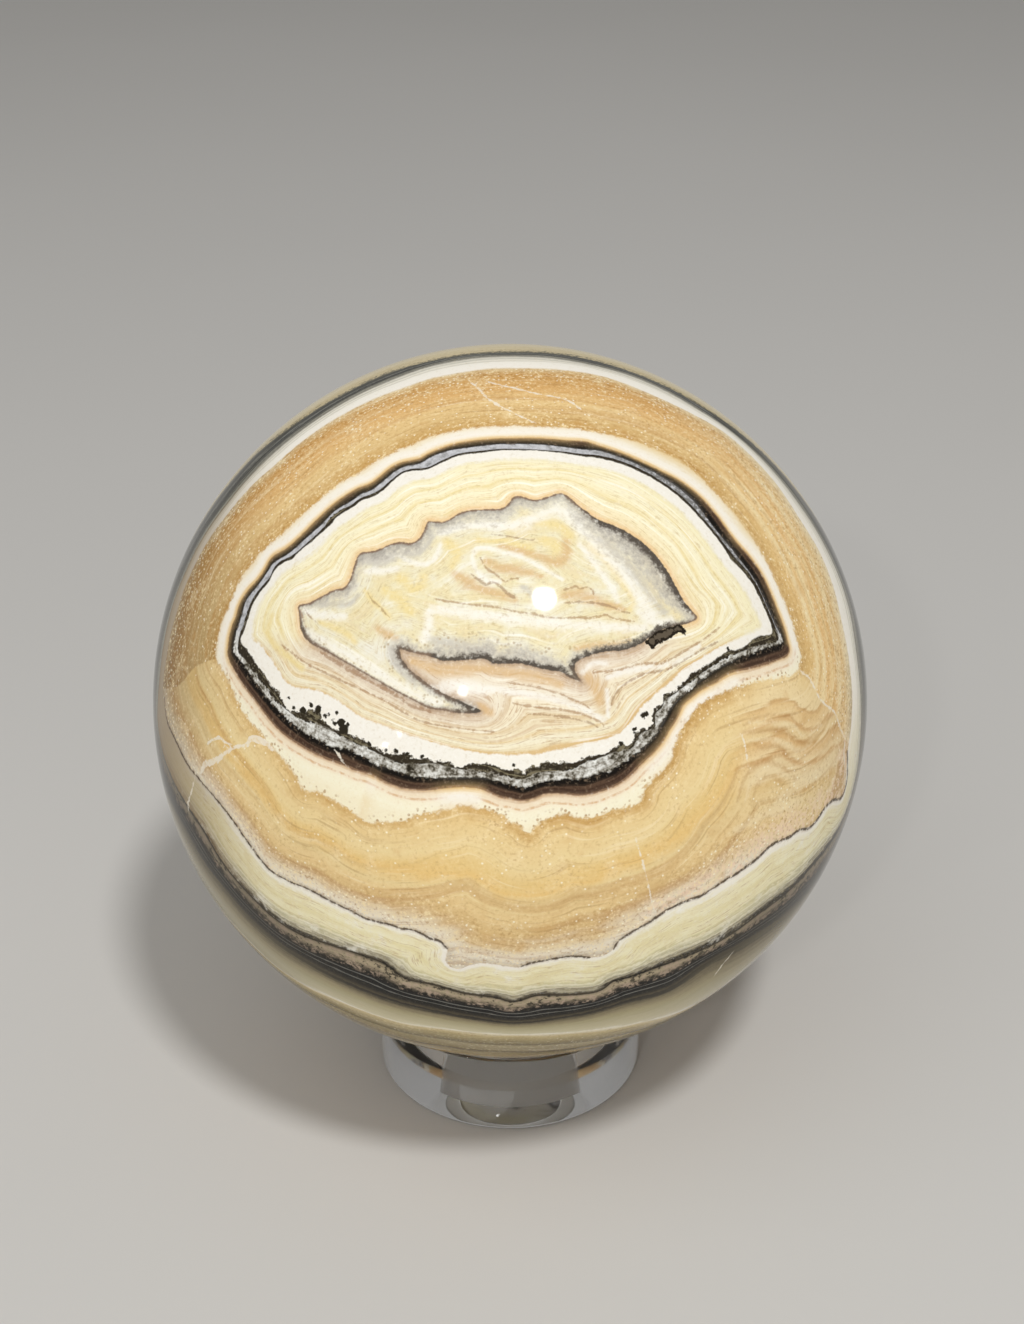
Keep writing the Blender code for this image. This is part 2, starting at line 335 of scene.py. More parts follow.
# Folds of the knob at the right, as soft strokes: pixel and radius
KNOB_BROWN_STROKES = [
    [(743, 733, 2), (758, 731, 3), (784, 730, 3), (799, 741, 3), (808, 741, 3), (824, 730, 2)],
    [(758, 747, 2), (780, 747, 3), (787, 755, 3), (796, 761, 3), (804, 756, 2), (817, 745, 2)],
    [(743, 725, 1.5), (758, 718, 2), (773, 715, 2), (790, 716, 2), (799, 725, 2), (807, 730, 2),
     (833, 715, 1.5)],
    [(738, 800, 2), (746, 776, 2.5), (764, 762, 3), (784, 768, 2.5), (796, 780, 2)],
    [(752, 806, 2), (758, 784, 2.5), (770, 776, 2.5), (782, 782, 2)],
    [(640, 895, 4), (668, 886, 6), (692, 877, 4)],
]
KNOB_PALE_STROKES = [
    [(745, 740, 2), (770, 739, 3), (786, 743, 3), (799, 751, 3), (812, 742, 2)],
    [(748, 722, 1.5), (775, 723, 3), (792, 725, 2.5), (804, 736, 2), (822, 723, 2)],
    [(746, 800, 2), (752, 782, 2.5), (766, 769, 2.5), (784, 775, 2)],
    [(780, 800, 8), (800, 784, 9), (820, 772, 6)],
    [(735, 830, 5), (770, 812, 7), (800, 800, 5)],
]

# The torn black piece at the right end of the cloud
BLACK_PIECE = [
    (645, 642), (650, 637), (656, 633), (664, 629), (673, 626.5), (680, 624.5), (683, 628),
    (686, 631), (684, 634.5), (679, 632), (672, 637), (665, 640), (657, 644), (652, 649),
    (649, 646),
]

# Soft strokes of one colour inside the eye: points with the stroke's radius there
YELLOW_STROKES = [
    [(320, 622, 3), (335, 628, 4), (347, 634, 4), (355, 642, 3)],
    [(590, 545, 3), (602, 556, 4), (615, 572, 4.5), (626, 588, 4.5), (634, 602, 4), (630, 610, 3)],
    [(447, 543, 6), (457, 553, 7), (452, 566, 5)],
    [(478, 540, 3), (500, 541, 4), (515, 544, 4), (530, 549, 5)],
    [(365, 590, 3), (372, 600, 3), (382, 609, 3), (390, 618, 3)],
    [(537, 524, 3), (550, 524, 5), (562, 527, 5), (570, 535, 6)],
    [(545, 540, 7), (556, 548, 8)],
    [(400, 578, 6), (415, 588, 8), (425, 578, 6)],
    [(385, 590, 5), (400, 600, 7), (410, 612, 6)],
    [(272, 616, 4), (268, 632, 4), (274, 644, 4), (286, 655, 4), (302, 668, 4)],
]
ORANGE_STROKES = [
    [(487, 562, 5), (500, 567, 6), (515, 570, 6), (530, 573, 5), (541, 576, 3)],
    [(500, 546, 3), (520, 551, 4), (540, 557, 5), (556, 562, 6), (566, 556, 6), (566, 543, 5)],
    [(455, 574, 5), (468, 582, 6), (483, 590, 5), (500, 595, 5), (514, 599, 4)],
    [(567, 596, 6), (580, 595, 8), (594, 600, 6), (610, 605, 5), (624, 609, 3)],
    [(378, 628, 4), (386, 634, 5), (396, 638, 4)],
    [(575, 649, 3), (595, 646, 5), (612, 645, 4), (630, 640, 3)],
    [(588, 676, 5), (596, 688, 8), (600, 702, 6)],
    [(412, 661, 4), (430, 668, 6), (450, 671, 8), (480, 669, 6), (510, 673, 6), (540, 678, 6),
     (560, 685, 5)],
    [(480, 706, 4), (490, 712, 5)],
]
WHITE_STROKES = [
    [(305, 610, 4), (315, 614, 5), (328, 616, 5), (345, 617, 4)],
    [(308, 632, 5), (322, 641, 6), (340, 651, 6), (360, 662, 6), (380, 674, 6), (400, 686, 6),
     (420, 696, 6), (440, 703, 5)],
    [(440, 609, 5), (470, 613, 6), (500, 617, 6), (530, 621, 6), (560, 624, 6), (590, 625, 6),
     (620, 627, 5), (645, 628, 4)],
    [(566, 512, 8), (580, 527, 8), (597, 545, 8), (613, 562, 8), (630, 582, 8), (642, 600, 8),
     (650, 612, 7)],
    [(440, 533, 4), (460, 527, 5), (480, 525, 5), (500, 526, 5), (520, 524, 7), (540, 515, 7),
     (556, 510, 6)],
    [(400, 556, 2.5), (412, 562, 3), (426, 564, 3), (436, 556, 3), (440, 545, 3)],
    [(562, 579, 2.5), (545, 570, 2.8), (530, 561, 2.8), (515, 555, 2.8), (500, 551.5, 2.8),
     (486, 548, 3), (477, 549, 3.2), (473, 556, 3.2), (474, 565, 3.2), (479, 574, 3.2),
     (487, 580, 3), (499, 582, 2.5)],
    [(580, 545, 3), (592, 560, 4), (604, 577, 4), (614, 592, 4), (617, 600, 3)],
    [(430, 612, 6), (428, 628, 6), (424, 640, 5)],
    [(365, 571, 4), (380, 571, 4), (396, 569, 4)],
    [(484, 689, 4), (505, 691, 4), (530, 695, 4), (555, 700, 4), (575, 706, 4), (592, 713, 3.5),
     (604, 720, 3)],
    [(608, 677, 3), (625, 672, 3.5), (645, 668, 3), (665, 665.5, 3), (682, 658, 3), (700, 646, 2.5)],
    [(607, 690, 2.5), (608, 703, 2.5), (608, 716, 2.5)],
    [(583, 672, 2.5), (592, 664, 2.5), (606, 663, 2.5)],
    [(430, 690, 5), (455, 686, 8), (480, 690, 6)],
    [(640, 610, 7), (655, 622, 5), (672, 620, 4)],
]
GREY_STROKES = [
    [(388, 645, 4), (392, 655, 5), (398, 666, 5), (406, 676, 4), (416, 686, 3)],
    [(364, 560, 5), (378, 562, 6), (392, 558, 5)],
    [(402, 552, 4), (416, 554, 4), (426, 546, 3), (432, 536, 3)],
    [(322, 606, 3), (336, 604, 4), (350, 603, 4), (358, 595, 3)],
    [(430, 640, 4), (445, 642, 5), (460, 645, 6), (475, 650, 6), (490, 652, 5)],
    [(455, 704, 4), (466, 705, 5), (475, 708, 4)],
    [(523, 587, 3), (530, 592, 4), (535, 600, 3)],
    [(600, 540, 5), (618, 556, 6), (634, 575, 6), (650, 596, 6), (664, 612, 5)],
]
# Along the cloud's outline: place, width of the dark line there, and how far grey reaches in
CLOUD_EDGE = [
    (300, 606, 2, 4), (325, 595.5, 2.2, 9), (345, 587.5, 2.4, 10), (353, 571, 3, 6),
    (361, 553, 2, 10), (380, 550, 1.8, 16), (400, 542.5, 1.8, 14), (412, 543, 2, 13),
    (425, 530, 2.6, 10), (432, 522, 1.8, 9), (450, 519.5, 1.8, 11), (480, 509.5, 1.8, 12),
    (505, 506, 2.2, 10), (514, 497, 2.6, 15), (535, 500, 2, 9), (560, 493.5, 2, 8),
    (572, 500, 3, 9), (590, 513, 4, 14), (605, 522, 6, 20), (621, 529, 7, 26), (645, 545, 8, 30),
    (662, 563, 8, 30), (674, 583, 8, 27), (686, 603.5, 6, 20), (697, 618, 3, 8), (680, 625, 4, 4),
    (660, 631, 5, 4), (640, 644, 6, 5), (624, 650, 6, 5), (600, 652.5, 6, 5), (588, 656.5, 5, 6),
    (577, 662, 5, 9), (576, 672, 4, 5), (583, 682.5, 3, 4), (571, 678, 4, 7), (560, 672, 5, 11),
    (543, 669, 5, 13), (520, 664, 5, 14), (500, 664, 5, 15), (480, 660, 5, 17), (460, 660, 5, 17),
    (441, 660.5, 5, 14), (420, 654.5, 3, 7), (400, 649, 4, 9), (403, 661, 4, 11), (414, 673, 3.5, 8),
    (433, 687, 3.5, 6), (450, 696.5, 4, 7), (466, 703, 5, 9), (481, 711, 5, 7), (464, 713.5, 4, 6),
    (445, 711, 3, 4), (430, 708.5, 2.4, 3), (409, 698.5, 2, 2), (390, 688.5, 2, 2), (368, 676, 2, 2),
    (345, 662.5, 2.2, 2), (323, 650, 2.6, 3), (309, 642, 3.5, 5), (301, 630, 4, 6), (299, 615, 3, 5),
]


# What the mesh keeps on its points: distances to closed and thin lines, and the cover of strokes
RIM_LOOPS = {"pale_loop": PALE_LOOP, "black_outer": BLACK_OUTER, "black_inner": BLACK_INNER}
LOOPS = {
    "tan_outer": TAN_OUTER,
    "tan_inner": TAN_INNER,
    "eye_outer": EYE_OUTER,
    "silver_outer": SILVER_OUTER,
    "silver_inner": SILVER_INNER,
    "eye_inner": EYE_INNER,
    "white_inner": WHITE_INNER,
    "cloud": CLOUD,
    "black_piece": BLACK_PIECE,
}
STROKES = {
    "yellow_strokes": YELLOW_STROKES,
    "orange_strokes": ORANGE_STROKES,
    "grey_strokes": GREY_STROKES,
    "white_strokes": WHITE_STROKES,
    "knob_brown": KNOB_BROWN_STROKES,
    "knob_pale": KNOB_PALE_STROKES,
}
THIN_LINES = {
    "dark_lines": DARK_LINES,
    "brown_lines": BROWN_LINES,
    "brown_lines_between": BROWN_LINES_BETWEEN,
    "pale_lines": PALE_LINES,
}
# Far arcs round the face that close the areas behind the faults and under the fold
ARC_PAST_FAULTS = [(clock, 88) for clock in range(96, -109, -12)]
ARC_UNDER_FOLD = [(clock, 60) for clock in range(105, 216, 10)]

# How lines are measured from, in the photograph's pixels
LINE_STEP = 1.5  # between the samples of a line
HAIR_REACH = 5.0  # a thin line's width is kept on the points within this distance of it
HAIR_FADE = 1.6  # the last part of that reach, over which the width goes to 0
FAR_AWAY = 99.0  # stands for no line near
BLEND_SOFTNESS = 10.0  # of numbers blended between places
SEARCH_PARTS = 16  # in which the points are searched, to save memory
TINY = 1e-12  # keeps a length of 0 out of a division
CHART_MARGIN = 1e-4  # keeps the point opposite the face out of infinity
SHORTEST_GAP = 1e-6  # between the points of a line, in radii of the stone


def on_stone(points):
    """Where pixels of the photograph fall on the stone, as unit vectors from its centre."""
    x, y = np.array(points, float)[:, :2].T
    rays = np.stack([x - IMAGE_WIDTH / 2, IMAGE_HEIGHT / 2 - y, np.full(len(x), -FOCAL_PIXELS)], 1)
    rays = rays @ CAMERA_TURN.T
    rays /= np.linalg.norm(rays, axis=1, keepdims=True)
    towards = rays @ (CENTRE - EYE)
    depth = towards**2 - np.sum((CENTRE - EYE) ** 2) + RADIUS**2
    hits = EYE + rays * (towards - np.sqrt(np.maximum(depth, 0)))[:, None] - CENTRE
    return hits / np.linalg.norm(hits, axis=1, keepdims=True)


def around(points):
    """Unit vectors for places given as o'clock round the face and angle from its middle."""
    clock, angle = np.radians(np.array(points, float)).T
    across = np.outer(np.sin(clock), FACE_RIGHT) + np.outer(np.cos(clock), FACE_UP)
    return np.cos(angle)[:, None] * FACE + np.sin(angle)[:, None] * across


def spline(points, closed, extra=None):
    """A centripetal spline through unit vectors, sampled about every LINE_STEP pixels.

    Gives the samples, and with extra, a number for each point, that number along them.
    """
    values = points if extra is None else np.column_stack([points, extra])
    if closed:
        values = np.concatenate([values[-1:], values, values[:2]])
    else:
        before_first = 2 * values[:1] - values[1:2]
        after_last = 2 * values[-1:] - values[-2:-1]
        values = np.concatenate([before_first, values, after_last])
    samples = []
    for before, start, end, after in zip(values, values[1:], values[2:], values[3:]):
        gaps = [np.linalg.norm((b - a)[:3]) for a, b in ((before, start), (start, end), (end, after))]
        k0, k1, k2, k3 = np.cumsum([0.0] + [math.sqrt(max(gap, SHORTEST_GAP)) for gap in gaps])
        count = max(1, math.ceil(gaps[1] * STONE_RADIUS_PIXELS / LINE_STEP))
        at = np.linspace(k1, k2, count, endpoint=False)[:, None]
        a1 = ((k1 - at) * before + (at - k0) * start) / (k1 - k0)
        a2 = ((k2 - at) * start + (at - k1) * end) / (k2 - k1)
        a3 = ((k3 - at) * end + (at - k2) * after) / (k3 - k2)
        b1 = ((k2 - at) * a1 + (at - k0) * a2) / (k2 - k0)
        b2 = ((k3 - at) * a2 + (at - k1) * a3) / (k3 - k1)
        samples.append(((k2 - at) * b1 + (at - k1) * b2) / (k2 - k1))
    if not closed:
        samples.append(values[-2:-1])
    path = np.concatenate(samples)
    path[:, :3] /= np.linalg.norm(path[:, :3], axis=1, keepdims=True)
    return path


def from_path(spots, path, closed=False):
    """For each spot, its distance to a path in pixels, the path's nearest sample and the side."""
    parts = np.array_split(spots, SEARCH_PARTS)
    nearest = np.concatenate([np.argmax(part @ path[:, :3].T, axis=1) for part in parts])
    start = path[nearest, :3]
    offset = spots - start
    away = np.linalg.norm(offset, axis=1)
    legs = []
    for step in (-1, 1):
        beside = nearest + step
        beside = beside % len(path) if closed else np.clip(beside, 0, len(path) - 1)
        leg = path[beside, :3] - start
        length = np.maximum(np.sum(leg**2, axis=1), TINY)
        share = np.clip(np.sum(offset * leg, axis=1) / length, 0, 1)
        away = np.minimum(away, np.linalg.norm(offset - share[:, None] * leg, axis=1))
        legs.append(leg)
    side = np.sign(np.sum(np.cross(legs[1] - legs[0], offset) * spots, axis=1))
    return 2 * np.arcsin(np.clip(away / 2, 0, 1)) * STONE_RADIUS_PIXELS, nearest, side


def chart(spots):
    """Flattens unit vectors to a plane that has the middle of the face at its origin."""
    from_back = 1 + CHART_MARGIN + spots @ FACE
    return np.stack([spots @ FACE_RIGHT, spots @ FACE_UP], 1) / from_back[:, None]


def inside(spots, path):
    """Which spots lie inside a closed path, on the side of the face's middle."""
    x, y = chart(spots).T
    corners = chart(path[:, :3])
    within = np.zeros(len(spots), bool)
    for (x0, y0), (x1, y1) in zip(corners, np.roll(corners, -1, axis=0)):
        if y0 != y1:
            crosses = (y0 > y) != (y1 > y)
            within ^= crosses & (x < x0 + (y - y0) * (x1 - x0) / (y1 - y0))
    return within


def loop_distance(spots, points):
    """Signed distance to a closed line: positive outside it."""
    path = spline(points, closed=True)
    away, _, _ = from_path(spots, path, closed=True)
    return np.where(inside(spots, path), -away, away)


def side_distance(spots, points, far):
    """Signed distance to an open line: negative on the side that the far points close."""
    path = spline(points, closed=False)
    away, _, _ = from_path(spots, path)
    return np.where(inside(spots, np.concatenate([path, far])), -away, away)


def hairlines(spots, lines):
    """Signed distance to the nearest of some thin lines, and that line's width beside it."""
    found = np.full(len(spots), FAR_AWAY)
    width = np.zeros(len(spots))
    for line in lines:
        path = spline(on_stone(line), closed=False, extra=[point[2] for point in line])
        away, nearest, side = from_path(spots, path)
        at_end = (nearest == 0) | (nearest == len(path) - 1)
        closer = away < np.abs(found)
        here = path[nearest, 3] * np.clip((HAIR_REACH - away) / HAIR_FADE, 0, 1) * ~at_end
        found[closer] = (away * np.where(side < 0, -1, 1))[closer]
        width[closer] = here[closer]
    return found, width


def strokes(spots, lines):
    """How much some soft strokes cover each spot, from 0 to 1."""
    clear = np.ones(len(spots))
    for line in lines:
        path = spline(on_stone(line), closed=False, extra=[point[2] for point in line])
        away, nearest, _ = from_path(spots, path)
        clear *= 1 - np.exp(-((away / path[nearest, 3]) ** 2))
    return 1 - clear


def spot_distance(spots, places):
    """Distance to the nearest edge of any of these round spots."""
    found = np.full(len(spots), FAR_AWAY)
    for place, middle in zip(places, on_stone(places)):
        away = np.arccos(np.clip(spots @ middle, -1, 1)) * STONE_RADIUS_PIXELS
        found = np.minimum(found, away - place[2])
    return found


def between_places(spots, places, column):
    """A number that is given at some places, blended between the nearest of them."""
    values = np.array(places)[:, column]
    away = np.arccos(np.clip(spots @ on_stone(places).T, -1, 1)) * STONE_RADIUS_PIXELS
    weights = 1 / (away**2 + BLEND_SOFTNESS) ** 2
    return weights @ values / weights.sum(axis=1)


# The stone's mesh: a ball, and parts of it that are each twice as fine as the last, as the pixel
# in their middle and the angle round it
COARSE_SUBDIVISIONS = 6
FINER_PARTS = [((STONE_X, STONE_Y), 84), ((STONE_X, STONE_Y), 65), ((490, 640), 31)]

# The bake map: a large disc for the face of the stone and a small one for its back
BAKE_FACE_ANGLE = math.radians(97)
BAKE_FACE_RADIUS = 0.365  # in widths of the map
BAKE_BACK_RADIUS = 0.205
BAKE_MARGIN = 0.005
BAKE_LEAST_HEIGHT = 1e-6  # keeps the point opposite a disc's middle out of a division by 0


def stone_mesh():
    """A ball that is finer on its face, and the directions of its points."""
    bm = bmesh.new()
    bmesh.ops.create_icosphere(bm, subdivisions=COARSE_SUBDIVISIONS, radius=1.0)
    for pixel, angle in FINER_PARTS:
        middle = Vector(on_stone([pixel])[0])
        reach = math.cos(math.radians(angle))
        near = {vertex for vertex in bm.verts if vertex.co.dot(middle) > reach}
        edges = [edge for edge in bm.edges if near.issuperset(edge.verts)]
        bmesh.ops.subdivide_edges(bm, edges=edges, cuts=1, use_grid_fill=True)
        bmesh.ops.triangulate(bm, faces=[face for face in bm.faces if len(face.verts) > 3])
        for vertex in bm.verts:
            vertex.co.normalize()
    mesh = bpy.data.meshes.new("onyx_stone")
    bm.to_mesh(mesh)
    bm.free()
    mesh.shade_smooth()
    spots = np.empty(len(mesh.vertices) * 3, np.float32)
    mesh.vertices.foreach_get("co", spots)
    mesh.vertices.foreach_set("co", spots * RADIUS)
    return mesh, spots.reshape(-1, 3).astype(float)


def keep_distances(mesh, spots):
    """Works out every distance that the shader needs, as attributes of the mesh's points."""
    fields = {name: loop_distance(spots, around(line)) for name, line in RIM_LOOPS.items()}
    for name, line in LOOPS.items():
        fields[name] = loop_distance(spots, on_stone(line))
    for name, lines in STROKES.items():
        fields[name] = strokes(spots, lines)
    for name, lines in THIN_LINES.items():
        fields[name], fields[name + "_width"] = hairlines(spots, lines)
    fields["faults"] = side_distance(spots, on_stone(FAULTS), around(ARC_PAST_FAULTS))
    fields["fold"] = side_distance(spots, on_stone(FOLD), around(ARC_UNDER_FOLD))
    fields["dendrites"] = spot_distance(spots, DENDRITES)
    fields["cloud_line"] = between_places(spots, CLOUD_EDGE, 2)
    fields["cloud_grey"] = between_places(spots, CLOUD_EDGE, 3)
    for name, values in fields.items():
        attribute = mesh.attributes.new(name, "FLOAT", "POINT")
        attribute.data.foreach_set("value", values.astype(np.float32))
    return fields


def corners_of_faces(mesh):
    """The numbers of the three points of each face."""
    corners = np.empty(len(mesh.loops), np.int32)
    mesh.loops.foreach_get("vertex_index", corners)
    return corners.reshape(-1, 3)


def add_bake_map(mesh, spots):
    """A UV map of two discs, with most of its room given to the face of the stone."""
    layer = mesh.uv_layers.new(name="OFBake")
    corners = corners_of_faces(mesh)
    middles = spots[corners].mean(axis=1)
    on_face = (middles @ FACE / np.linalg.norm(middles, axis=1) > math.cos(BAKE_FACE_ANGLE))[:, None]
    height = (spots @ FACE)[corners]
    side = np.where(on_face, 1.0, -1.0)
    flat = np.stack([(spots @ FACE_RIGHT)[corners] * side, (spots @ FACE_UP)[corners]], -1)
    edge = np.where(on_face, math.cos(BAKE_FACE_ANGLE), -math.cos(BAKE_FACE_ANGLE))
    size = np.where(on_face, BAKE_FACE_RADIUS, BAKE_BACK_RADIUS) - BAKE_MARGIN
    spread = size / np.sqrt(1 - edge) / np.sqrt(np.maximum(1 + height * side, BAKE_LEAST_HEIGHT))
    place = np.where(on_face, BAKE_FACE_RADIUS, 1 - BAKE_BACK_RADIUS)
    places = flat * spread[..., None] + place[..., None]
    layer.data.foreach_set("uv", places.astype(np.float32).ravel())


def add_node(tree, kind, **settings):
    """A new node of a shader, with its settings by their names."""
    made = tree.nodes.new("ShaderNode" + kind)
    for name, value in settings.items():
        setattr(made, name, value)
    return made


def feed(socket, value):
    """Gives a socket of a shader a field or a plain value."""
    if isinstance(value, Field):
        value.tree.links.new(value.socket, socket)
    else:
        socket.default_value = value


class Field:
    """A number or colour that varies over a surface: a socket of its shader, with arithmetic."""

    def __init__(self, socket):
        self.socket = socket
        self.tree = socket.id_data

    def math(self, operation, other, swapped=False):
        made = add_node(self.tree, "Math", operation=operation)
        first, second = (other, self) if swapped else (self, other)
        feed(made.inputs[0], first)
        feed(made.inputs[1], second)
        return Field(made.outputs[0])

    def __add__(self, other):
        return self.math("ADD", other)

    def __sub__(self, other):
        return self.math("SUBTRACT", other)

    def __rsub__(self, other):
        return self.math("SUBTRACT", other, swapped=True)

    def __mul__(self, other):
        return self.math("MULTIPLY", other)

    def __truediv__(self, other):
        return self.math("DIVIDE", other)

    def __neg__(self):
        return self.math("MULTIPLY", -1.0)

    __radd__ = __add__
    __rmul__ = __mul__

    def size(self):
        """This number without its sign."""
        return self.math("ABSOLUTE", 0.0)

    def rise(self, start, end, most=1.0):
        """0 up to start and most from end, with a smooth step between. Start may be the larger."""
        made = add_node(self.tree, "MapRange", interpolation_type="SMOOTHSTEP")
        feed(made.inputs["Value"], self)
        made.inputs["From Min"].default_value = min(start, end)
        made.inputs["From Max"].default_value = max(start, end)
        made.inputs["To Min"].default_value = most if start > end else 0.0
        made.inputs["To Max"].default_value = 0.0 if start > end else most
        return Field(made.outputs["Result"])

    def ramp(self, stops):
        """Colours at values of this field, given as (value, colour)."""
        start, end = stops[0][0], stops[-1][0]
        made = add_node(self.tree, "ValToRGB")
        steps = made.color_ramp.elements
        for value, _ in stops[1:-1]:
            steps.new((value - start) / (end - start))
        for step, (_, colour) in zip(steps, stops):
            step.color = linear(colour)
        share = add_node(self.tree, "MapRange")
        feed(share.inputs["Value"], self)
        share.inputs["From Min"].default_value = start
        share.inputs["From Max"].default_value = end
        self.tree.links.new(share.outputs["Result"], made.inputs["Fac"])
        return Field(made.outputs["Color"])

    def over(self, below, mask):
        """This colour laid over another one, if there is one, where the mask is 1."""
        if below is None:
            return self
        made = add_node(self.tree, "Mix", data_type="RGBA")
        feed(made.inputs[0], mask)
        feed(made.inputs[6], below)
        feed(made.inputs[7], self)
        return Field(made.outputs[2])

    def instead_of(self, below, mask):
        """This number in place of another one where the mask is 1."""
        return below + (self - below) * mask

    def tinted(self, colour, mask):
        """This colour with a flat one laid over it where the mask is 1."""
        made = add_node(self.tree, "Mix", data_type="RGBA")
        feed(made.inputs[0], mask)
        feed(made.inputs[6], self)
        made.inputs[7].default_value = linear(colour)
        return Field(made.outputs[2])

    def tints(self, *layers):
        """This colour with flat ones laid over it in turn, each given with its mask."""
        tinted = self
        for colour, mask in layers:
            tinted = tinted.tinted(colour, mask)
        return tinted


def linear(colour):
    """A colour as the photograph shows it, 0 to 255, as linear light with alpha."""
    return (*[((c / 255 + 0.055) / 1.055) ** 2.4 if c > 10 else c / 255 / 12.92 for c in colour], 1.0)


NOISE_GAIN = 5.0  # spreads Blender's noise, which stays near its middle


class Surface:
    """What a material's colours are made from: kept distances, places and noise."""

    def __init__(self, name, scale):
        self.material = bpy.data.materials.new(name)
        self.material.use_nodes = True
        self.tree = self.material.node_tree
        self.shader = self.tree.nodes["Principled BSDF"]
        enlarged = add_node(self.tree, "VectorMath", operation="SCALE")
        enlarged.inputs["Scale"].default_value = scale
        self.tree.links.new(add_node(self.tree, "TexCoord").outputs["Object"], enlarged.inputs[0])
        self.place = enlarged.outputs["Vector"]
        self.known = {}

    def kept(self, name):
        """A number that is kept on the points of the mesh."""
        if name not in self.known:
            node = add_node(self.tree, "Attribute", attribute_name=name)
            self.known[name] = Field(node.outputs["Fac"])
        return self.known[name]

    def flat(self, colour):
        """One colour everywhere."""
        node = add_node(self.tree, "RGB")
        node.outputs[0].default_value = linear(colour)
        return Field(node.outputs[0])

    def along(self, direction):
        """How far a place lies along a direction."""
        node = add_node(self.tree, "VectorMath", operation="DOT_PRODUCT")
        self.tree.links.new(self.place, node.inputs[0])
        node.inputs[1].default_value = direction
        return Field(node.outputs["Value"])

    def noise(self, size, detail=2.0, roughness=0.5, vector=None):
        """Noise mostly from -1 to 1, with features of a size in the units of places."""
        node = add_node(self.tree, "TexNoise")
        self.tree.links.new(vector or self.place, node.inputs["Vector"])
        node.inputs["Scale"].default_value = 1.0 / size
        node.inputs["Detail"].default_value = detail
        node.inputs["Roughness"].default_value = roughness
        return (Field(node.outputs["Fac"]) - 0.5) * NOISE_GAIN

    def cells(self, size):
        """Crystals of a size: the distance from each one's middle, and its own random number."""
        node = add_node(self.tree, "TexVoronoi")
        self.tree.links.new(self.place, node.inputs["Vector"])
        node.inputs["Scale"].default_value = 1.0 / size
        split = add_node(self.tree, "SeparateColor")
        self.tree.links.new(node.outputs["Color"], split.inputs[0])
        return Field(node.outputs["Distance"]), Field(split.outputs[0])

    def finished(self, **inputs):
        """The material, with these fields and plain values on its shader."""
        for name, value in inputs.items():
            feed(self.shader.inputs[name.replace("_", " ")], value)
        return self.material


# The bands with laminae of their own, from outside to inside: the line that bounds the band, the
# line along which its laminae run, and the laminae's spacing in pixels
LAMINAE = [
    ("pale_loop", "black_outer", 4.0),
    ("black_outer", "black_inner", 2.5),
    ("black_inner", "tan_outer", 4.0),
    ("tan_outer", "tan_inner", 4.2),
    ("tan_inner", "eye_outer", 2.6),
]
BACK_LAMINA = 5.0
CLOUD_LAMINA = 3.6
EYE_LAMINAE = 17.0  # how many lie between the white band and the cloud
FINE_LENGTH = 75.0  # how far a fine streak runs, in pixels
WIDE_LENGTH = 130.0
WIDE_LAMINAE = 3.2  # how many fine laminae a wide streak covers

# Sizes of the stone's unevenness, in pixels
WAVE_SIZE = 75
BLOTCH_SIZE = 26
ROUGH_SIZE = 5.5
GRAIN_SIZE = 3.0
CRYSTAL_SIZE = 3.4

NEVER_ZERO = 0.01  # pixels between two lines where they touch, for the division between them


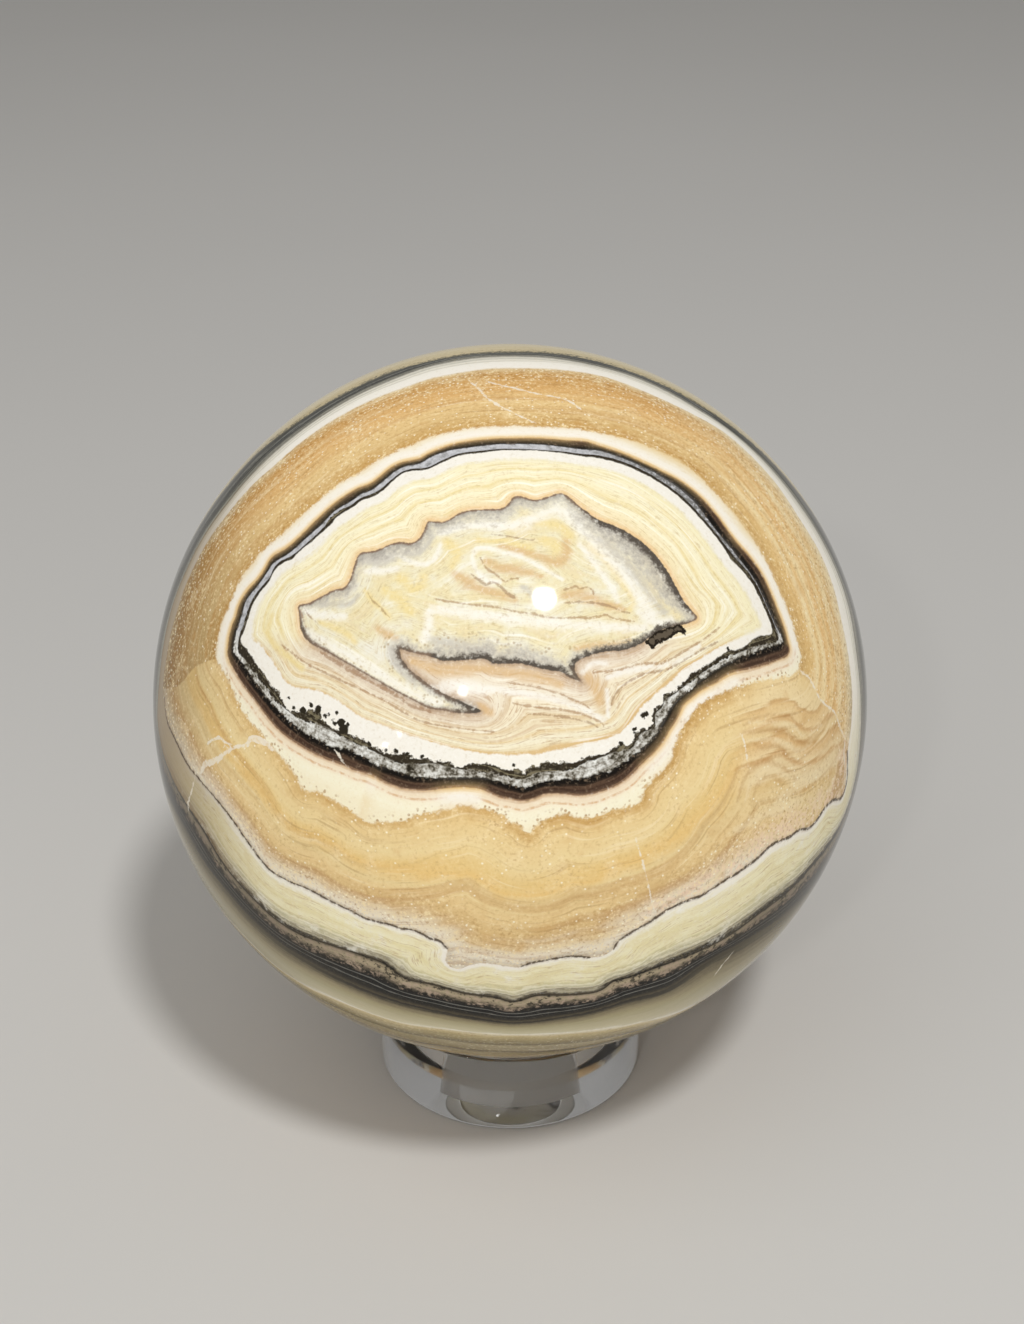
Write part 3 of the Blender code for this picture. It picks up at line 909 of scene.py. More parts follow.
class Stone(Surface):
    """The stone's surface, with the noise that its bands share."""

    def __init__(self, name):
        super().__init__(name, PIXELS_PER_METRE)
        self.right = self.along(FACE_RIGHT)
        self.up = self.along(FACE_UP)
        self.wave = self.noise(WAVE_SIZE, 1)
        self.blotch = self.noise(BLOTCH_SIZE, 3, 0.62)
        self.rough = self.noise(ROUGH_SIZE, 2, 0.7)
        self.grain = self.noise(GRAIN_SIZE, 1, 0.7)
        self.mottle = self.grain + self.rough * 0.6
        self.core, self.luck = self.cells(CRYSTAL_SIZE)
        self.lower = (self.up + self.wave * 10).rise(36, -125)
        self.across_eye = self.share("white_inner", "cloud", inwards=True)
        count = self.laminae()
        self.fine = self.drawn_out(count, FINE_LENGTH, 1.0)
        self.wide = self.drawn_out(count, WIDE_LENGTH, WIDE_LAMINAE)

    def laminae(self):
        """Counts laminae across the stone, each band's along the line that its own ones follow."""
        count = (self.kept("pale_loop") + self.wave * 4.0) / BACK_LAMINA
        for line, run, spacing in LAMINAE:
            own = (self.kept(run) + self.wave * 1.5) / spacing
            count = own.instead_of(count, self.within(line))
        eye = self.across_eye * EYE_LAMINAE + self.wave * 0.8
        count = eye.instead_of(count, self.within("eye_inner"))
        cloud = (self.kept("cloud") + self.wave * 3.0) / CLOUD_LAMINA
        return cloud.instead_of(count, self.within("cloud"))

    def drawn_out(self, count, length, scale):
        """Noise drawn out along a band: count rises by one from lamina to lamina."""
        node = add_node(self.tree, "CombineXYZ")
        feed(node.inputs[0], count)
        feed(node.inputs[1], self.right / length)
        feed(node.inputs[2], self.up / length)
        return self.noise(scale, roughness=0.55, vector=node.outputs[0])

    def share(self, start, end, inwards=False):
        """0 on one line and 1 on another, for places between them."""
        reach = self.kept(start)
        apart = -NEVER_ZERO if inwards else NEVER_ZERO
        return reach / (reach - self.kept(end) + apart)

    def within(self, line, ragged=0.0, soft=0.7):
        """1 inside a line, with its edge made ragged by this many pixels."""
        reach = self.kept(line)
        if ragged:
            reach = reach + self.rough * ragged
        return reach.rise(soft, -soft)

    def line(self, name, ragged=0.7, most=1.0):
        """Above 0 on the thin lines of a kind, which break up into dots here and there."""
        width = self.kept(name + "_width")
        edge = self.kept(name).size() - width * 0.5 + self.rough * ragged
        return edge.rise(0.9, -0.5) * width.rise(0.2, 0.7) * self.mottle.rise(1.9, -0.2, most)

    def threads(self, most):
        """Thin broken lines that wander along the laminae."""
        return self.fine.size().rise(0.15, 0.02) * self.rough.rise(1.0, -0.6, most)

    def grained(self, colour, light, dark, strength):
        """A colour with the stone's fine grain: a light and a dark colour over it in specks."""
        colour = colour.tinted(light, self.mottle.rise(0.15, 1.9, strength))
        return colour.tinted(dark, self.mottle.rise(-0.15, -1.9, strength))

    def sparkle(self, colour, density):
        """Crystals over a colour: density from 0 to 1 says how many of them shine."""
        colour = colour.tints(
            ((166, 116, 52), self.mottle.rise(-0.1, -1.6) * (density * 0.5 + 0.18)),
            ((247, 226, 178), self.mottle.rise(0.1, 1.4) * (density * 0.85 + 0.16)),
        )
        lit = (self.luck + density * 0.34).rise(0.93, 1.03) * self.core.rise(0.42, 0.1, 0.85)
        return colour.tinted((255, 246, 220), lit)


# The layers of the stone's colour: each lays its own bands over the colour below


def back_bands(s, below):
    """Beyond the pale line, on to the back of the stone, where the bands close round another eye."""
    pale_loop = s.kept("pale_loop")
    swell = (s.wave * 22 + s.blotch * 5) * pale_loop.rise(30, 220)
    reach = pale_loop + s.wave * 3.0 + swell + s.fine * 1.2
    colour = reach.ramp([
        (0, (246, 236, 208)), (5, (212, 192, 142)), (12, (184, 166, 118)), (22, (150, 135, 92)),
        (30, (112, 99, 66)), (34, (166, 152, 110)),
        (56, (150, 134, 98)), (60, (112, 100, 78)), (67, (172, 156, 118)), (110, (208, 182, 132)),
        (170, (222, 184, 124)), (230, (198, 154, 94)), (262, (222, 190, 134)),
        (268, (240, 230, 208)), (290, (243, 236, 220)), (298, (226, 190, 140)), (303, (62, 48, 34)),
        (309, (32, 26, 20)), (312, (190, 190, 196)), (326, (206, 206, 210)), (329, (34, 28, 22)),
        (333, (60, 54, 42)), (336, (244, 240, 232)), (350, (243, 236, 214)), (372, (244, 234, 192)),
        (470, (240, 214, 164)), (476, (120, 96, 76)), (480, (200, 192, 182)),
        (505, (232, 227, 214)), (540, (242, 236, 216)), (640, (240, 222, 178)),
    ])
    tan = reach.rise(75, 115) * reach.rise(266, 262)
    colour = colour.tints(
        ((158, 116, 62), s.wide.rise(0.2, 1.1, 0.5) * tan),
        ((226, 214, 186), s.fine.rise(-0.4, -1.4, 0.4)),
        ((110, 98, 66), s.fine.rise(0.4, 1.4, 0.4)),
    )
    colour = s.grained(colour, (240, 230, 200), (108, 94, 64), 0.24)
    return s.sparkle(colour, tan * 0.5)


def rim_bands(s, below):
    """The strip inside the pale line, the black band and the cream crescents inside that."""
    strip = s.share("black_outer", "pale_loop") + s.fine * 0.04 + s.rough * 0.02
    lower_strip = strip.ramp([
        (0, (44, 40, 33)), (0.08, (62, 57, 46)), (0.2, (132, 120, 92)), (0.42, (180, 168, 130)),
        (0.6, (196, 186, 150)), (0.85, (214, 204, 168)), (0.94, (224, 214, 182)), (1, (252, 246, 230)),
    ])
    spots = s.mottle.rise(0.6, 1.6, 0.7) * strip.rise(0.4, 0.0)
    lower_strip = lower_strip.tints(
        ((70, 60, 44), spots),
        # painted shade: the lower strip is darker towards both sides of the stone
        ((120, 108, 76), s.right.size().rise(110, 300, 0.55)),
    )
    upper_strip = (strip + s.grain * 0.05).ramp([
        (0, (112, 106, 86)), (0.06, (214, 196, 152)), (0.3, (249, 233, 191)), (0.6, (242, 224, 179)),
        (1, (247, 232, 194)),
    ])
    strips = lower_strip.over(upper_strip, s.lower)

    depth = s.share("black_inner", "black_outer") + s.fine * 0.012
    lower_black = depth.ramp([
        (0, (96, 86, 70)), (0.05, (44, 40, 32)), (0.1, (160, 146, 120)), (0.2, (186, 170, 140)),
        (0.32, (120, 108, 90)), (0.42, (38, 35, 31)), (0.55, (28, 27, 25)), (0.575, (132, 130, 124)),
        (0.6, (26, 25, 23)), (0.7, (26, 25, 23)), (0.725, (128, 126, 120)), (0.75, (28, 27, 24)),
        (0.88, (44, 40, 33)), (1, (92, 82, 62)),
    ])
    lumps = s.rough + s.blotch * 0.6
    lower_black = lower_black.tinted((28, 25, 21), lumps.rise(0.3, 0.8, 0.8) * depth.rise(0.54, 0.4))
    pink = lumps.rise(0.1, -0.8, 0.85) * depth.rise(0.54, 0.4) * depth.rise(0.04, 0.14)
    lower_black = lower_black.tints(
        ((190, 168, 146), pink),
        # painted shade: the lower black band is darker towards both sides of the stone
        ((66, 59, 47), s.right.size().rise(110, 250, 0.5)),
    )
    upper_black = (depth + s.fine * 0.09 + s.grain * 0.04).ramp([
        (0, (160, 157, 142)), (0.2, (84, 83, 74)), (0.4, (54, 54, 49)), (0.52, (128, 127, 118)),
        (0.66, (60, 60, 54)), (0.85, (72, 70, 60)), (1, (120, 114, 94)),
    ])
    black = s.grained(lower_black.over(upper_black, s.lower), (112, 107, 94), (16, 15, 13), 0.25)
    strips = black.over(strips, s.within("black_outer", 1.1, 1.2))

    crescent = s.share("tan_outer", "black_inner") + s.wide * 0.05 + s.rough * 0.02
    lower_cream = (crescent + s.fine * 0.03).ramp([
        (0, (250, 243, 230)), (0.08, (250, 244, 226)), (0.16, (244, 234, 194)), (0.3, (249, 241, 204)),
        (0.4, (240, 228, 178)), (0.5, (248, 239, 200)), (0.6, (244, 235, 194)), (0.66, (216, 206, 160)),
        (0.7, (244, 237, 208)), (0.77, (198, 190, 154)), (0.81, (230, 222, 194)),
        (0.87, (152, 143, 118)), (0.91, (188, 179, 154)), (0.96, (106, 98, 82)), (1, (56, 50, 40)),
    ])
    middle = crescent.rise(0.06, 0.2) * crescent.rise(0.85, 0.6)
    lumpy = (s.blotch + s.rough * 0.7).rise(-0.1, 1.2, 0.85)
    lower_cream = lower_cream.tints(
        ((239, 226, 180), lumpy * middle),
        ((253, 249, 236), (s.blotch + s.rough * 0.5).rise(-0.2, -1.4, 0.6)),
        ((204, 178, 132), s.threads(0.7) * middle),
        ((218, 200, 156), s.fine.rise(0.5, 1.3, 0.5) * middle),
    )
    spotted = (s.blotch - s.rough * 0.5).rise(-1.0, -1.7, 0.6) * middle
    lower_cream = lower_cream.tinted((222, 182, 130), spotted)
    upper_cream = (crescent + s.fine * 0.03).ramp([
        (0, (238, 224, 196)), (0.08, (254, 248, 236)), (0.46, (253, 248, 234)),
        (0.54, (224, 218, 202)), (0.62, (248, 242, 226)), (0.72, (206, 202, 186)),
        (0.8, (236, 230, 214)), (0.9, (170, 166, 152)), (1, (106, 102, 90)),
    ])
    cream = s.grained(lower_cream.over(upper_cream, s.lower), (255, 251, 240), (214, 197, 152), 0.25)
    # painted shade: the cream is darker towards the left edge of the stone
    cream = cream.tinted((150, 124, 84), s.right.rise(-200, -345, 0.85))
    strips = cream.over(strips, s.within("black_inner", 0.8, 0.9))
    return strips.over(below, s.within("pale_loop", 0.5, 1.5))


def tan_body(s, below):
    """The crystalline tan body: the band over the eye, and the body and the fold under it."""
    across = s.share("tan_inner", "tan_outer")
    side = s.right / STONE_RADIUS_PIXELS

    upper = (across + s.blotch * 0.03 + s.wide * 0.05).ramp([
        (0, (198, 155, 92)), (0.08, (208, 170, 108)), (0.2, (224, 192, 134)), (0.38, (232, 199, 140)),
        (0.55, (226, 182, 118)), (0.7, (217, 170, 104)), (0.84, (210, 163, 97)),
        (0.93, (218, 184, 130)), (1, (228, 206, 168)),
    ])
    striped = (across + s.wide * 0.03 + s.fine * 0.015).ramp([
        (0, (206, 176, 124)), (0.06, (212, 178, 120)), (0.14, (222, 186, 124)), (0.2, (230, 194, 132)),
        (0.27, (246, 226, 178)), (0.33, (234, 196, 134)), (0.42, (248, 228, 178)),
        (0.47, (232, 190, 128)), (0.56, (243, 217, 162)), (0.62, (230, 188, 124)),
        (0.7, (246, 226, 178)), (0.8, (234, 200, 142)), (0.9, (244, 224, 178)), (1, (246, 232, 198)),
    ])
    upper = striped.over(upper, (side + s.wave * 0.05).rise(0.35, 0.75, 0.85))
    upper = upper.tints(
        # painted shade: the upper tan band is darker towards the left edge of the stone
        ((112, 86, 48), side.rise(-0.55, -1.0, 0.85)),
        ((126, 104, 64), side.rise(0.87, 0.915, 0.75) * s.up.rise(125, 70)),
    )
    lower = (across + s.wide * 0.045 + s.blotch * 0.02).ramp([
        (0, (192, 152, 90)), (0.03, (208, 170, 108)), (0.1, (230, 201, 144)),
        (0.26, (236, 212, 157)), (0.36, (232, 201, 137)), (0.44, (234, 198, 130)),
        (0.55, (234, 209, 154)), (0.66, (233, 203, 147)), (0.74, (222, 190, 134)),
        (0.8, (216, 184, 136)), (0.88, (235, 218, 186)), (0.95, (239, 228, 206)),
        (1, (218, 208, 188)),
    ])
    fold = -s.kept("fold") + s.wave * 1.5 + s.fine * 1.6
    folded = fold.ramp([
        (-34, (208, 172, 120)), (-26, (232, 204, 148)), (-10, (238, 214, 164)), (-3, (238, 215, 166)),
        (-1, (212, 174, 120)), (2, (228, 194, 138)), (12, (236, 208, 156)), (15, (218, 180, 126)),
        (18, (230, 201, 148)), (25, (236, 210, 158)), (28, (208, 168, 112)), (31, (222, 184, 128)),
        (42, (238, 213, 164)), (46, (214, 174, 120)), (50, (232, 206, 158)), (62, (238, 216, 170)),
        (70, (228, 197, 140)), (84, (236, 211, 158)), (110, (234, 204, 150)),
    ])
    beside = (side + s.wave * 0.015).rise(0.5, 0.62) * s.up.rise(-150, -105)
    lower = folded.over(lower, beside)
    # painted shade: the lower tan body is darker towards the left edge of the stone
    lower = lower.tinted((150, 122, 80), side.rise(-0.66, -0.98, 0.7) * s.up.rise(-110, -20))
    band = (s.kept("faults") + s.rough * 0.5).rise(-1.0, 1.0)
    body = lower.over(upper, band)

    body = body.tints(
        ((190, 142, 82), s.wide.rise(0.3, 1.2, 0.4)),
        ((247, 228, 184), s.wide.rise(-0.3, -1.2, 0.4)),
        ((166, 118, 58), s.fine.rise(0.3, 1.4, 0.46)),
        ((248, 229, 188), s.fine.rise(-0.3, -1.4, 0.5)),
        ((243, 220, 172), s.blotch.rise(0.2, 1.3, 0.45)),
        ((206, 158, 94), s.blotch.rise(-0.3, -1.5, 0.4)),
    )
    torn = (s.rough + s.blotch * 0.7).rise(-0.5, 0.7, 0.75) * across.rise(0.74, 0.93)
    body = body.tinted((243, 214, 186), torn * side.rise(0.2, 0.45) * s.up.rise(0, -60))
    uneven = s.rough * 0.25 + s.fine * 0.15
    body = body.tints(
        ((188, 144, 90), (s.kept("knob_brown") + uneven).rise(0.15, 1.1, 0.45)),
        ((242, 222, 180), (s.kept("knob_pale") + uneven).rise(0.15, 1.1, 0.55)),
    )
    edge = across.rise(0.16, 0.02, 0.25) + across.rise(0.5, 0.9, 0.5)
    density = (s.blotch * 0.25 + s.wave * 0.1 + 0.45 + edge - band * 0.35).rise(-0.1, 1.1)
    return s.sparkle(body, density).over(below, s.within("tan_outer", 0.6))


def eye_cream(s, below):
    """The cream between the tan body and the eye's dark outline."""
    eye_outer = s.kept("eye_outer")
    thick = (s.kept("silver_outer") - eye_outer).rise(7.5, 11) * s.up.rise(62, 20)
    upper = (eye_outer + s.fine * 0.7).ramp([
        (0, (156, 124, 84)), (1.5, (218, 184, 130)), (3.2, (236, 210, 164)), (5, (244, 231, 206)),
        (8, (246, 239, 225)), (13, (244, 236, 218)), (18, (240, 226, 196)), (24, (232, 208, 160)),
    ])
    lower = (eye_outer + s.fine * 0.8 + s.rough * 0.5).ramp([
        (0, (128, 100, 76)), (1.5, (208, 178, 144)), (4, (237, 219, 190)), (9, (241, 226, 198)),
        (12, (245, 236, 208)), (17, (246, 239, 211)), (26, (244, 234, 202)),
    ])
    thread = (eye_outer + s.blotch - 8.5).size().rise(1.6, 0.4) * s.rough.rise(0.9, -0.7, 0.75)
    lower = lower.tinted((212, 168, 120), thread)
    fringe = s.luck.rise(0.5, 0.62) * s.core.rise(0.5, 0.25, 0.8) * s.kept("tan_inner").rise(-8, -1)
    lower = lower.tinted((172, 132, 82), fringe)
    cream = s.grained(lower.over(upper, thick), (253, 249, 236), (222, 198, 152), 0.28)
    frayed = s.rough * 1.3 + s.grain * 0.8 + s.luck * 2.4
    return cream.over(below, (s.kept("tan_inner") + frayed).rise(4.2, 0.2))


def eye_outline(s, below):
    """The eye's dark outline with its silver core, from outside in."""
    eye_outer = s.kept("eye_outer")
    silver_outer = s.kept("silver_outer")
    silver_inner = s.kept("silver_inner")
    thick = (silver_outer - eye_outer).rise(7.5, 11)
    under = (s.up + s.rough * 3).rise(66, 48)
    shaded = s.right.rise(40, 130) * (1.0 - under)

    depth = s.share("eye_outer", "silver_outer", inwards=True) + s.fine * 0.07 + s.rough * 0.04
    thin_dark = depth.ramp([
        (0, (150, 124, 88)), (0.25, (112, 94, 66)), (0.5, (82, 70, 51)), (0.8, (52, 46, 37)),
        (1, (72, 69, 64)),
    ])
    thick_dark = depth.ramp([
        (0, (136, 108, 84)), (0.08, (88, 68, 54)), (0.3, (70, 52, 41)), (0.45, (92, 71, 56)),
        (0.56, (56, 44, 35)), (0.68, (30, 25, 21)), (0.85, (24, 21, 18)), (1, (34, 30, 26)),
    ])
    dark = s.grained(thick_dark.over(thin_dark, thick), (158, 136, 112), (24, 19, 15), 0.42)
    colour = dark.over(below, (eye_outer + s.rough * 0.8).rise(1.4, -1.0))

    silver = s.rough.ramp([(-1.5, (212, 212, 214)), (0, (188, 188, 190)), (1.2, (140, 139, 138))])
    silver = silver.tinted((104, 102, 98), shaded * s.grain.rise(-1.2, 0.4, 0.85))
    near = silver_inner.rise(-3.0, 0.5, 1.2) + silver_outer.rise(-1.5, 0.5, 0.6) - 0.5
    white = (s.fine * 0.35 + s.blotch * 0.75 + s.rough * 0.8 + s.grain * 0.35 + near).ramp([
        (-1.6, (246, 245, 240)), (-0.4, (232, 231, 225)), (0.3, (202, 200, 192)),
        (0.9, (152, 147, 136)), (1.4, (90, 84, 71)), (2.0, (42, 37, 29)),
    ])
    core = white.over(silver, under)
    edge = silver_outer + s.rough * (under * 1.2 + 0.4) + shaded * 1.4 + (1.0 - under) * 0.3
    colour = core.over(colour, edge.rise(0.8, -0.8))

    rim = (s.kept("eye_inner") - silver_inner).rise(3.0, 5.0)
    inner = s.grained(s.flat((54, 47, 36)), (156, 148, 126), (24, 21, 16), 0.5)
    inner = inner.tinted((128, 119, 94), (s.fine + s.rough * 0.5).rise(0.0, 0.8, 0.85) * rim)
    edge = silver_inner + s.rough * (rim * 1.3 + 0.4) - shaded * 1.2 - (1.0 - under) * 0.2
    return inner.over(colour, edge.rise(0.6, -0.6))


def eye_field(s, below):
    """The white band inside the eye's dark outline, and the cream laminae up to the cloud."""
    cloud = s.kept("cloud")
    across = s.across_eye + s.wide * 0.035
    under = (s.up + s.wave * 6).rise(64, 40)
    over = 1.0 - under
    top = (across + s.fine * 0.012).ramp([
        (0, (234, 221, 164)), (0.06, (243, 234, 194)), (0.2, (246, 237, 202)), (0.28, (237, 221, 166)),
        (0.35, (246, 239, 207)), (0.5, (244, 233, 192)), (0.57, (234, 216, 160)),
        (0.64, (246, 238, 204)), (0.8, (242, 228, 188)), (0.92, (238, 220, 178)), (1, (234, 206, 160)),
    ])
    bottom = (across + s.fine * 0.014 + s.rough * 0.006).ramp([
        (0, (216, 184, 132)), (0.035, (219, 188, 136)), (0.08, (233, 220, 184)),
        (0.18, (239, 231, 204)), (0.27, (227, 205, 160)), (0.33, (238, 228, 198)),
        (0.44, (222, 200, 160)), (0.5, (236, 225, 197)), (0.6, (236, 223, 194)),
        (0.66, (218, 197, 164)), (0.72, (236, 226, 203)), (0.86, (233, 220, 198)), (1, (226, 211, 188)),
    ])
    colour = bottom.over(top, under)
    drawn = across.rise(0.02, 0.1)
    colour = colour.tints(
        ((222, 200, 134), s.fine.rise(0.3, 1.1, 0.6) * drawn * over),
        ((204, 168, 126), s.fine.rise(0.45, 1.2, 0.55) * drawn * under),
        ((254, 251, 238), s.fine.rise(-0.3, -1.1, 0.65)),
        ((182, 142, 102), s.threads(0.6) * under * drawn),
        ((196, 168, 104), s.threads(0.4) * over * drawn),
        ((232, 192, 138), (cloud + s.rough * 0.5).rise(7, 0, 0.6) * over),
        ((188, 158, 128), (cloud + s.rough).rise(14, 0, 0.55) * under),
        ((150, 122, 98), (cloud + s.rough).rise(4.5, -1, 0.6) * under),
    )
    colour = s.grained(painted(s, colour), (249, 241, 220), (206, 178, 132), 0.34)
    white = s.grained(s.flat((241, 236, 224)), (254, 252, 246), (210, 198, 172), 0.36)
    soft = s.kept("white_inner") + s.rough * 0.9 + over * s.fine * 1.2
    colour = colour.over(white, (soft * (under * 0.7 + 0.3)).rise(1.1, -1.1))
    ragged = s.rough * (s.up.rise(60, 0, 1.6) + 0.5)
    return colour.over(below, (s.kept("eye_inner") + ragged).rise(0.8, -0.8))


def painted(s, colour):
    """The soft strokes inside the eye, laid over a colour."""
    uneven = s.rough * 0.16 + s.fine * 0.2 + s.blotch * 0.05
    for name, tint, strength in (
        ("yellow_strokes", (234, 214, 152), 0.9),
        ("orange_strokes", (214, 178, 126), 0.85),
        ("grey_strokes", (192, 187, 178), 0.7),
        ("white_strokes", (244, 241, 232), 0.8),
    ):
        colour = colour.tinted(tint, (s.kept(name) + uneven).rise(0.05, 1.25, strength))
    return colour


def cloud_inside(s, below):
    """The cloud inside the eye: cream and white, greyer and then dark towards its outline."""
    deep = -s.kept("cloud")
    colour = (s.blotch + s.wide * 0.8).ramp([
        (-1.5, (234, 230, 214)), (-0.5, (233, 226, 198)), (0.3, (231, 220, 180)),
        (1, (231, 216, 172)), (1.8, (233, 222, 188)),
    ])
    colour = colour.tints(
        ((220, 202, 158), s.fine.rise(0.4, 1.2, 0.45)),
        ((251, 248, 239), s.fine.rise(-0.4, -1.2, 0.6)),
        ((190, 160, 108), s.threads(0.35)),
    )
    colour = s.grained(painted(s, colour), (248, 243, 226), (190, 168, 124), 0.38)
    grains = s.luck.rise(0.5, 0.6) * s.core.rise(0.5, 0.2, 0.6) * (s.up + s.wave * 4).rise(66, 50)
    colour = colour.tinted((170, 142, 96), grains * (deep / s.kept("cloud_grey")).rise(2.8, 1.4))

    mottled = s.grain * 0.17 + s.rough * 0.24 + s.blotch * 0.1
    grey = deep / s.kept("cloud_grey")
    colour = colour.tints(
        ((200, 194, 182), (grey + mottled).rise(1.6, 0.5, 0.75)),
        ((146, 139, 132), (grey + mottled).rise(0.85, -0.1, 0.72)),
        ((232, 230, 226), (grey - mottled).rise(0.2, -0.5, 0.55)),
    )
    width = s.kept("cloud_line")
    broad = width.rise(2.6, 5)
    torn = (s.rough * 1.5 + s.grain * 0.9) * (broad + 0.3)
    outline = s.flat((124, 100, 80)).tinted((66, 57, 48), broad)
    line = ((deep + torn) / width).rise(1.3, 0.3, 0.88)
    return outline.over(colour, line).over(below, s.within("cloud", 0.6))


def small_marks(s, colour):
    """The black piece, the dendrites and the thin lines in the eye."""
    piece = s.kept("black_piece") + s.rough * 1.3
    colour = colour.tints(
        ((94, 84, 70), piece.rise(0.6, -0.6)),
        ((40, 34, 27), piece.rise(0.8, -0.4) * (piece + s.grain).rise(-3.2, -1.6)),
        ((46, 41, 31), (s.kept("dendrites") + s.rough * 1.2).rise(0.7, -0.4)),
        ((164, 124, 86), s.line("brown_lines", most=0.62)),
    )
    return colour.tinted((156, 122, 92), s.line("brown_lines_between", most=0.62))


def long_lines(s, colour):
    """The dark line between the tan body and the cream under it, and the pale healed cracks."""
    near = s.kept("dark_lines").size().rise(4.8, 0.6, 0.5) * s.kept("dark_lines_width").rise(0.4, 1.6)
    colour = colour.tints(
        ((150, 126, 98), near * s.rough.rise(1.2, -0.8)),
        ((78, 66, 52), s.line("dark_lines", 0.5, most=0.9)),
    )
    return healed_cracks(s, colour)


def healed_cracks(s, colour):
    """The pale cracks, which run over every band."""
    return colour.tinted((244, 235, 216), s.line("pale_lines", 1.3, most=0.8))


# The stone's surface is split into zones, each with a material that has only the bands it needs
ZONES = {
    "back": [back_bands],
    "rim": [back_bands, rim_bands, long_lines],
    "body": [rim_bands, tan_body, eye_cream, long_lines],
    "eye": [eye_cream, eye_outline, eye_field, cloud_inside, small_marks, healed_cracks],
}
ZONE_MARGIN = 6.0  # bands reach over their lines by fewer pixels than this


def zone_of_faces(mesh, fields):
    """For each face, the number of its zone."""
    corners = corners_of_faces(mesh)
    number = {name: place for place, name in enumerate(ZONES)}
    zone = np.full(len(corners), number["back"], np.int32)
    zone[fields["pale_loop"][corners].min(axis=1) < ZONE_MARGIN] = number["rim"]
    zone[fields["tan_outer"][corners].min(axis=1) < ZONE_MARGIN] = number["body"]
    zone[fields["tan_inner"][corners].max(axis=1) < -ZONE_MARGIN] = number["eye"]
    return zone


# The polish of the stone and of the ring
STONE_ROUGHNESS = 0.065
STONE_IOR = 1.5
STONE_SPECULAR = 0.1  # low, as in the photograph the polish mirrors little but the lamps
ACRYLIC_COLOUR = (0.98, 0.98, 0.975, 1.0)
ACRYLIC_ROUGHNESS = 0.03
ACRYLIC_IOR = 1.49
SMEAR_SIZE = 9.0  # mm
ROUGHNESS_CHANGE = 0.006
MILLIMETRES = 1000.0


def onyx(zone, layers):
    """Polished banded onyx, with the layers that one zone of the stone shows."""
    s = Stone("banded_onyx_" + zone)
    colour = None
    for layer in layers:
        colour = layer(s, colour)
    polish = s.blotch * ROUGHNESS_CHANGE + STONE_ROUGHNESS
    return s.finished(
        Base_Color=colour, Roughness=polish, IOR=STONE_IOR, Specular_IOR_Level=STONE_SPECULAR
    )


def clear_acrylic():
    """Clear cast acrylic, with the faint unevenness of a polished edge."""
    s = Surface("clear_acrylic_polished", MILLIMETRES)
    smear = s.noise(SMEAR_SIZE, 3, 0.6) * ROUGHNESS_CHANGE + ACRYLIC_ROUGHNESS
    return s.finished(
        Base_Color=ACRYLIC_COLOUR, Roughness=smear, Transmission_Weight=1.0, IOR=ACRYLIC_IOR
    )


def add_object(name, data):
    """A new object in the scene."""
    made = bpy.data.objects.new(name, data)
    bpy.context.scene.collection.objects.link(made)
    return made


def add_stone():
    """The stone: one ball, whose zones of colour are four materials."""
    mesh, spots = stone_mesh()
    fields = keep_distances(mesh, spots)
    add_bake_map(mesh, spots)
    for zone, layers in ZONES.items():
        mesh.materials.append(onyx(zone, layers))
    mesh.polygons.foreach_set("material_index", zone_of_faces(mesh, fields))
    mesh.normals_split_custom_set_from_vertices(spots)
    stone = add_object("onyx_stone", mesh)
    stone.location = CENTRE
    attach(stone, "root")
    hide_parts("onyx_sphere")


# The ring's section: its bore and seat as in the CAD source, its outside from its CAD box
RING_BORE_RADIUS = 0.011
RING_SEAT_WIDTH = 0.001
RING_EDGE_ROUND = 0.0005
RING_SEGMENTS = 256
RING_ROUND_SEGMENTS = 5
RING_INSET = 1e-5  # keeps the ring inside its CAD box
CREASE_ANGLE = math.radians(35)  # below this angle a crease is smooth


def ring_section():
    """The ring's section as (radius, height), with rounded edges at its outside."""
    _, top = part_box("ring_stand")
    outer, height = top[0] - RING_INSET, top[2] - RING_INSET
    slope = (RING_BORE_RADIUS + RING_SEAT_WIDTH / 2) / RADIUS
    section = [(RING_BORE_RADIUS, RING_INSET)]
    for level, turn in ((RING_INSET + RING_EDGE_ROUND, -90), (height - RING_EDGE_ROUND, 0)):
        for step in range(RING_ROUND_SEGMENTS + 1):
            angle = math.radians(turn + 90 * step / RING_ROUND_SEGMENTS)
            section.append((
                outer - RING_EDGE_ROUND + RING_EDGE_ROUND * math.cos(angle),
                level + RING_EDGE_ROUND * math.sin(angle),
            ))
    section.append((RING_BORE_RADIUS + RING_SEAT_WIDTH, height))
    section.append((RING_BORE_RADIUS, height - slope * RING_SEAT_WIDTH))
    return section


def add_ring():
    """The clear ring, turned about Z more finely than its CAD solid so that it refracts cleanly."""
    bm = bmesh.new()
    section = ring_section()
    corners = [bm.verts.new((radius, 0.0, height)) for radius, height in section]
    edges = [bm.edges.new(pair) for pair in zip(corners, corners[1:] + corners[:1])]
    bmesh.ops.spin(
        bm, geom=corners + edges, cent=(0, 0, 0), axis=(0, 0, 1), angle=math.tau,
        steps=RING_SEGMENTS, use_merge=True,
    )
    bmesh.ops.recalc_face_normals(bm, faces=bm.faces)
    mesh = bpy.data.meshes.new("clear_ring")
    bm.to_mesh(mesh)
    bm.free()
    mesh.shade_smooth()
    mesh.set_sharp_from_angle(angle=CREASE_ANGLE)
    mesh.materials.append(clear_acrylic())
    ring = add_object("clear_ring", mesh)
    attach(ring, "root")
    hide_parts("ring_stand")


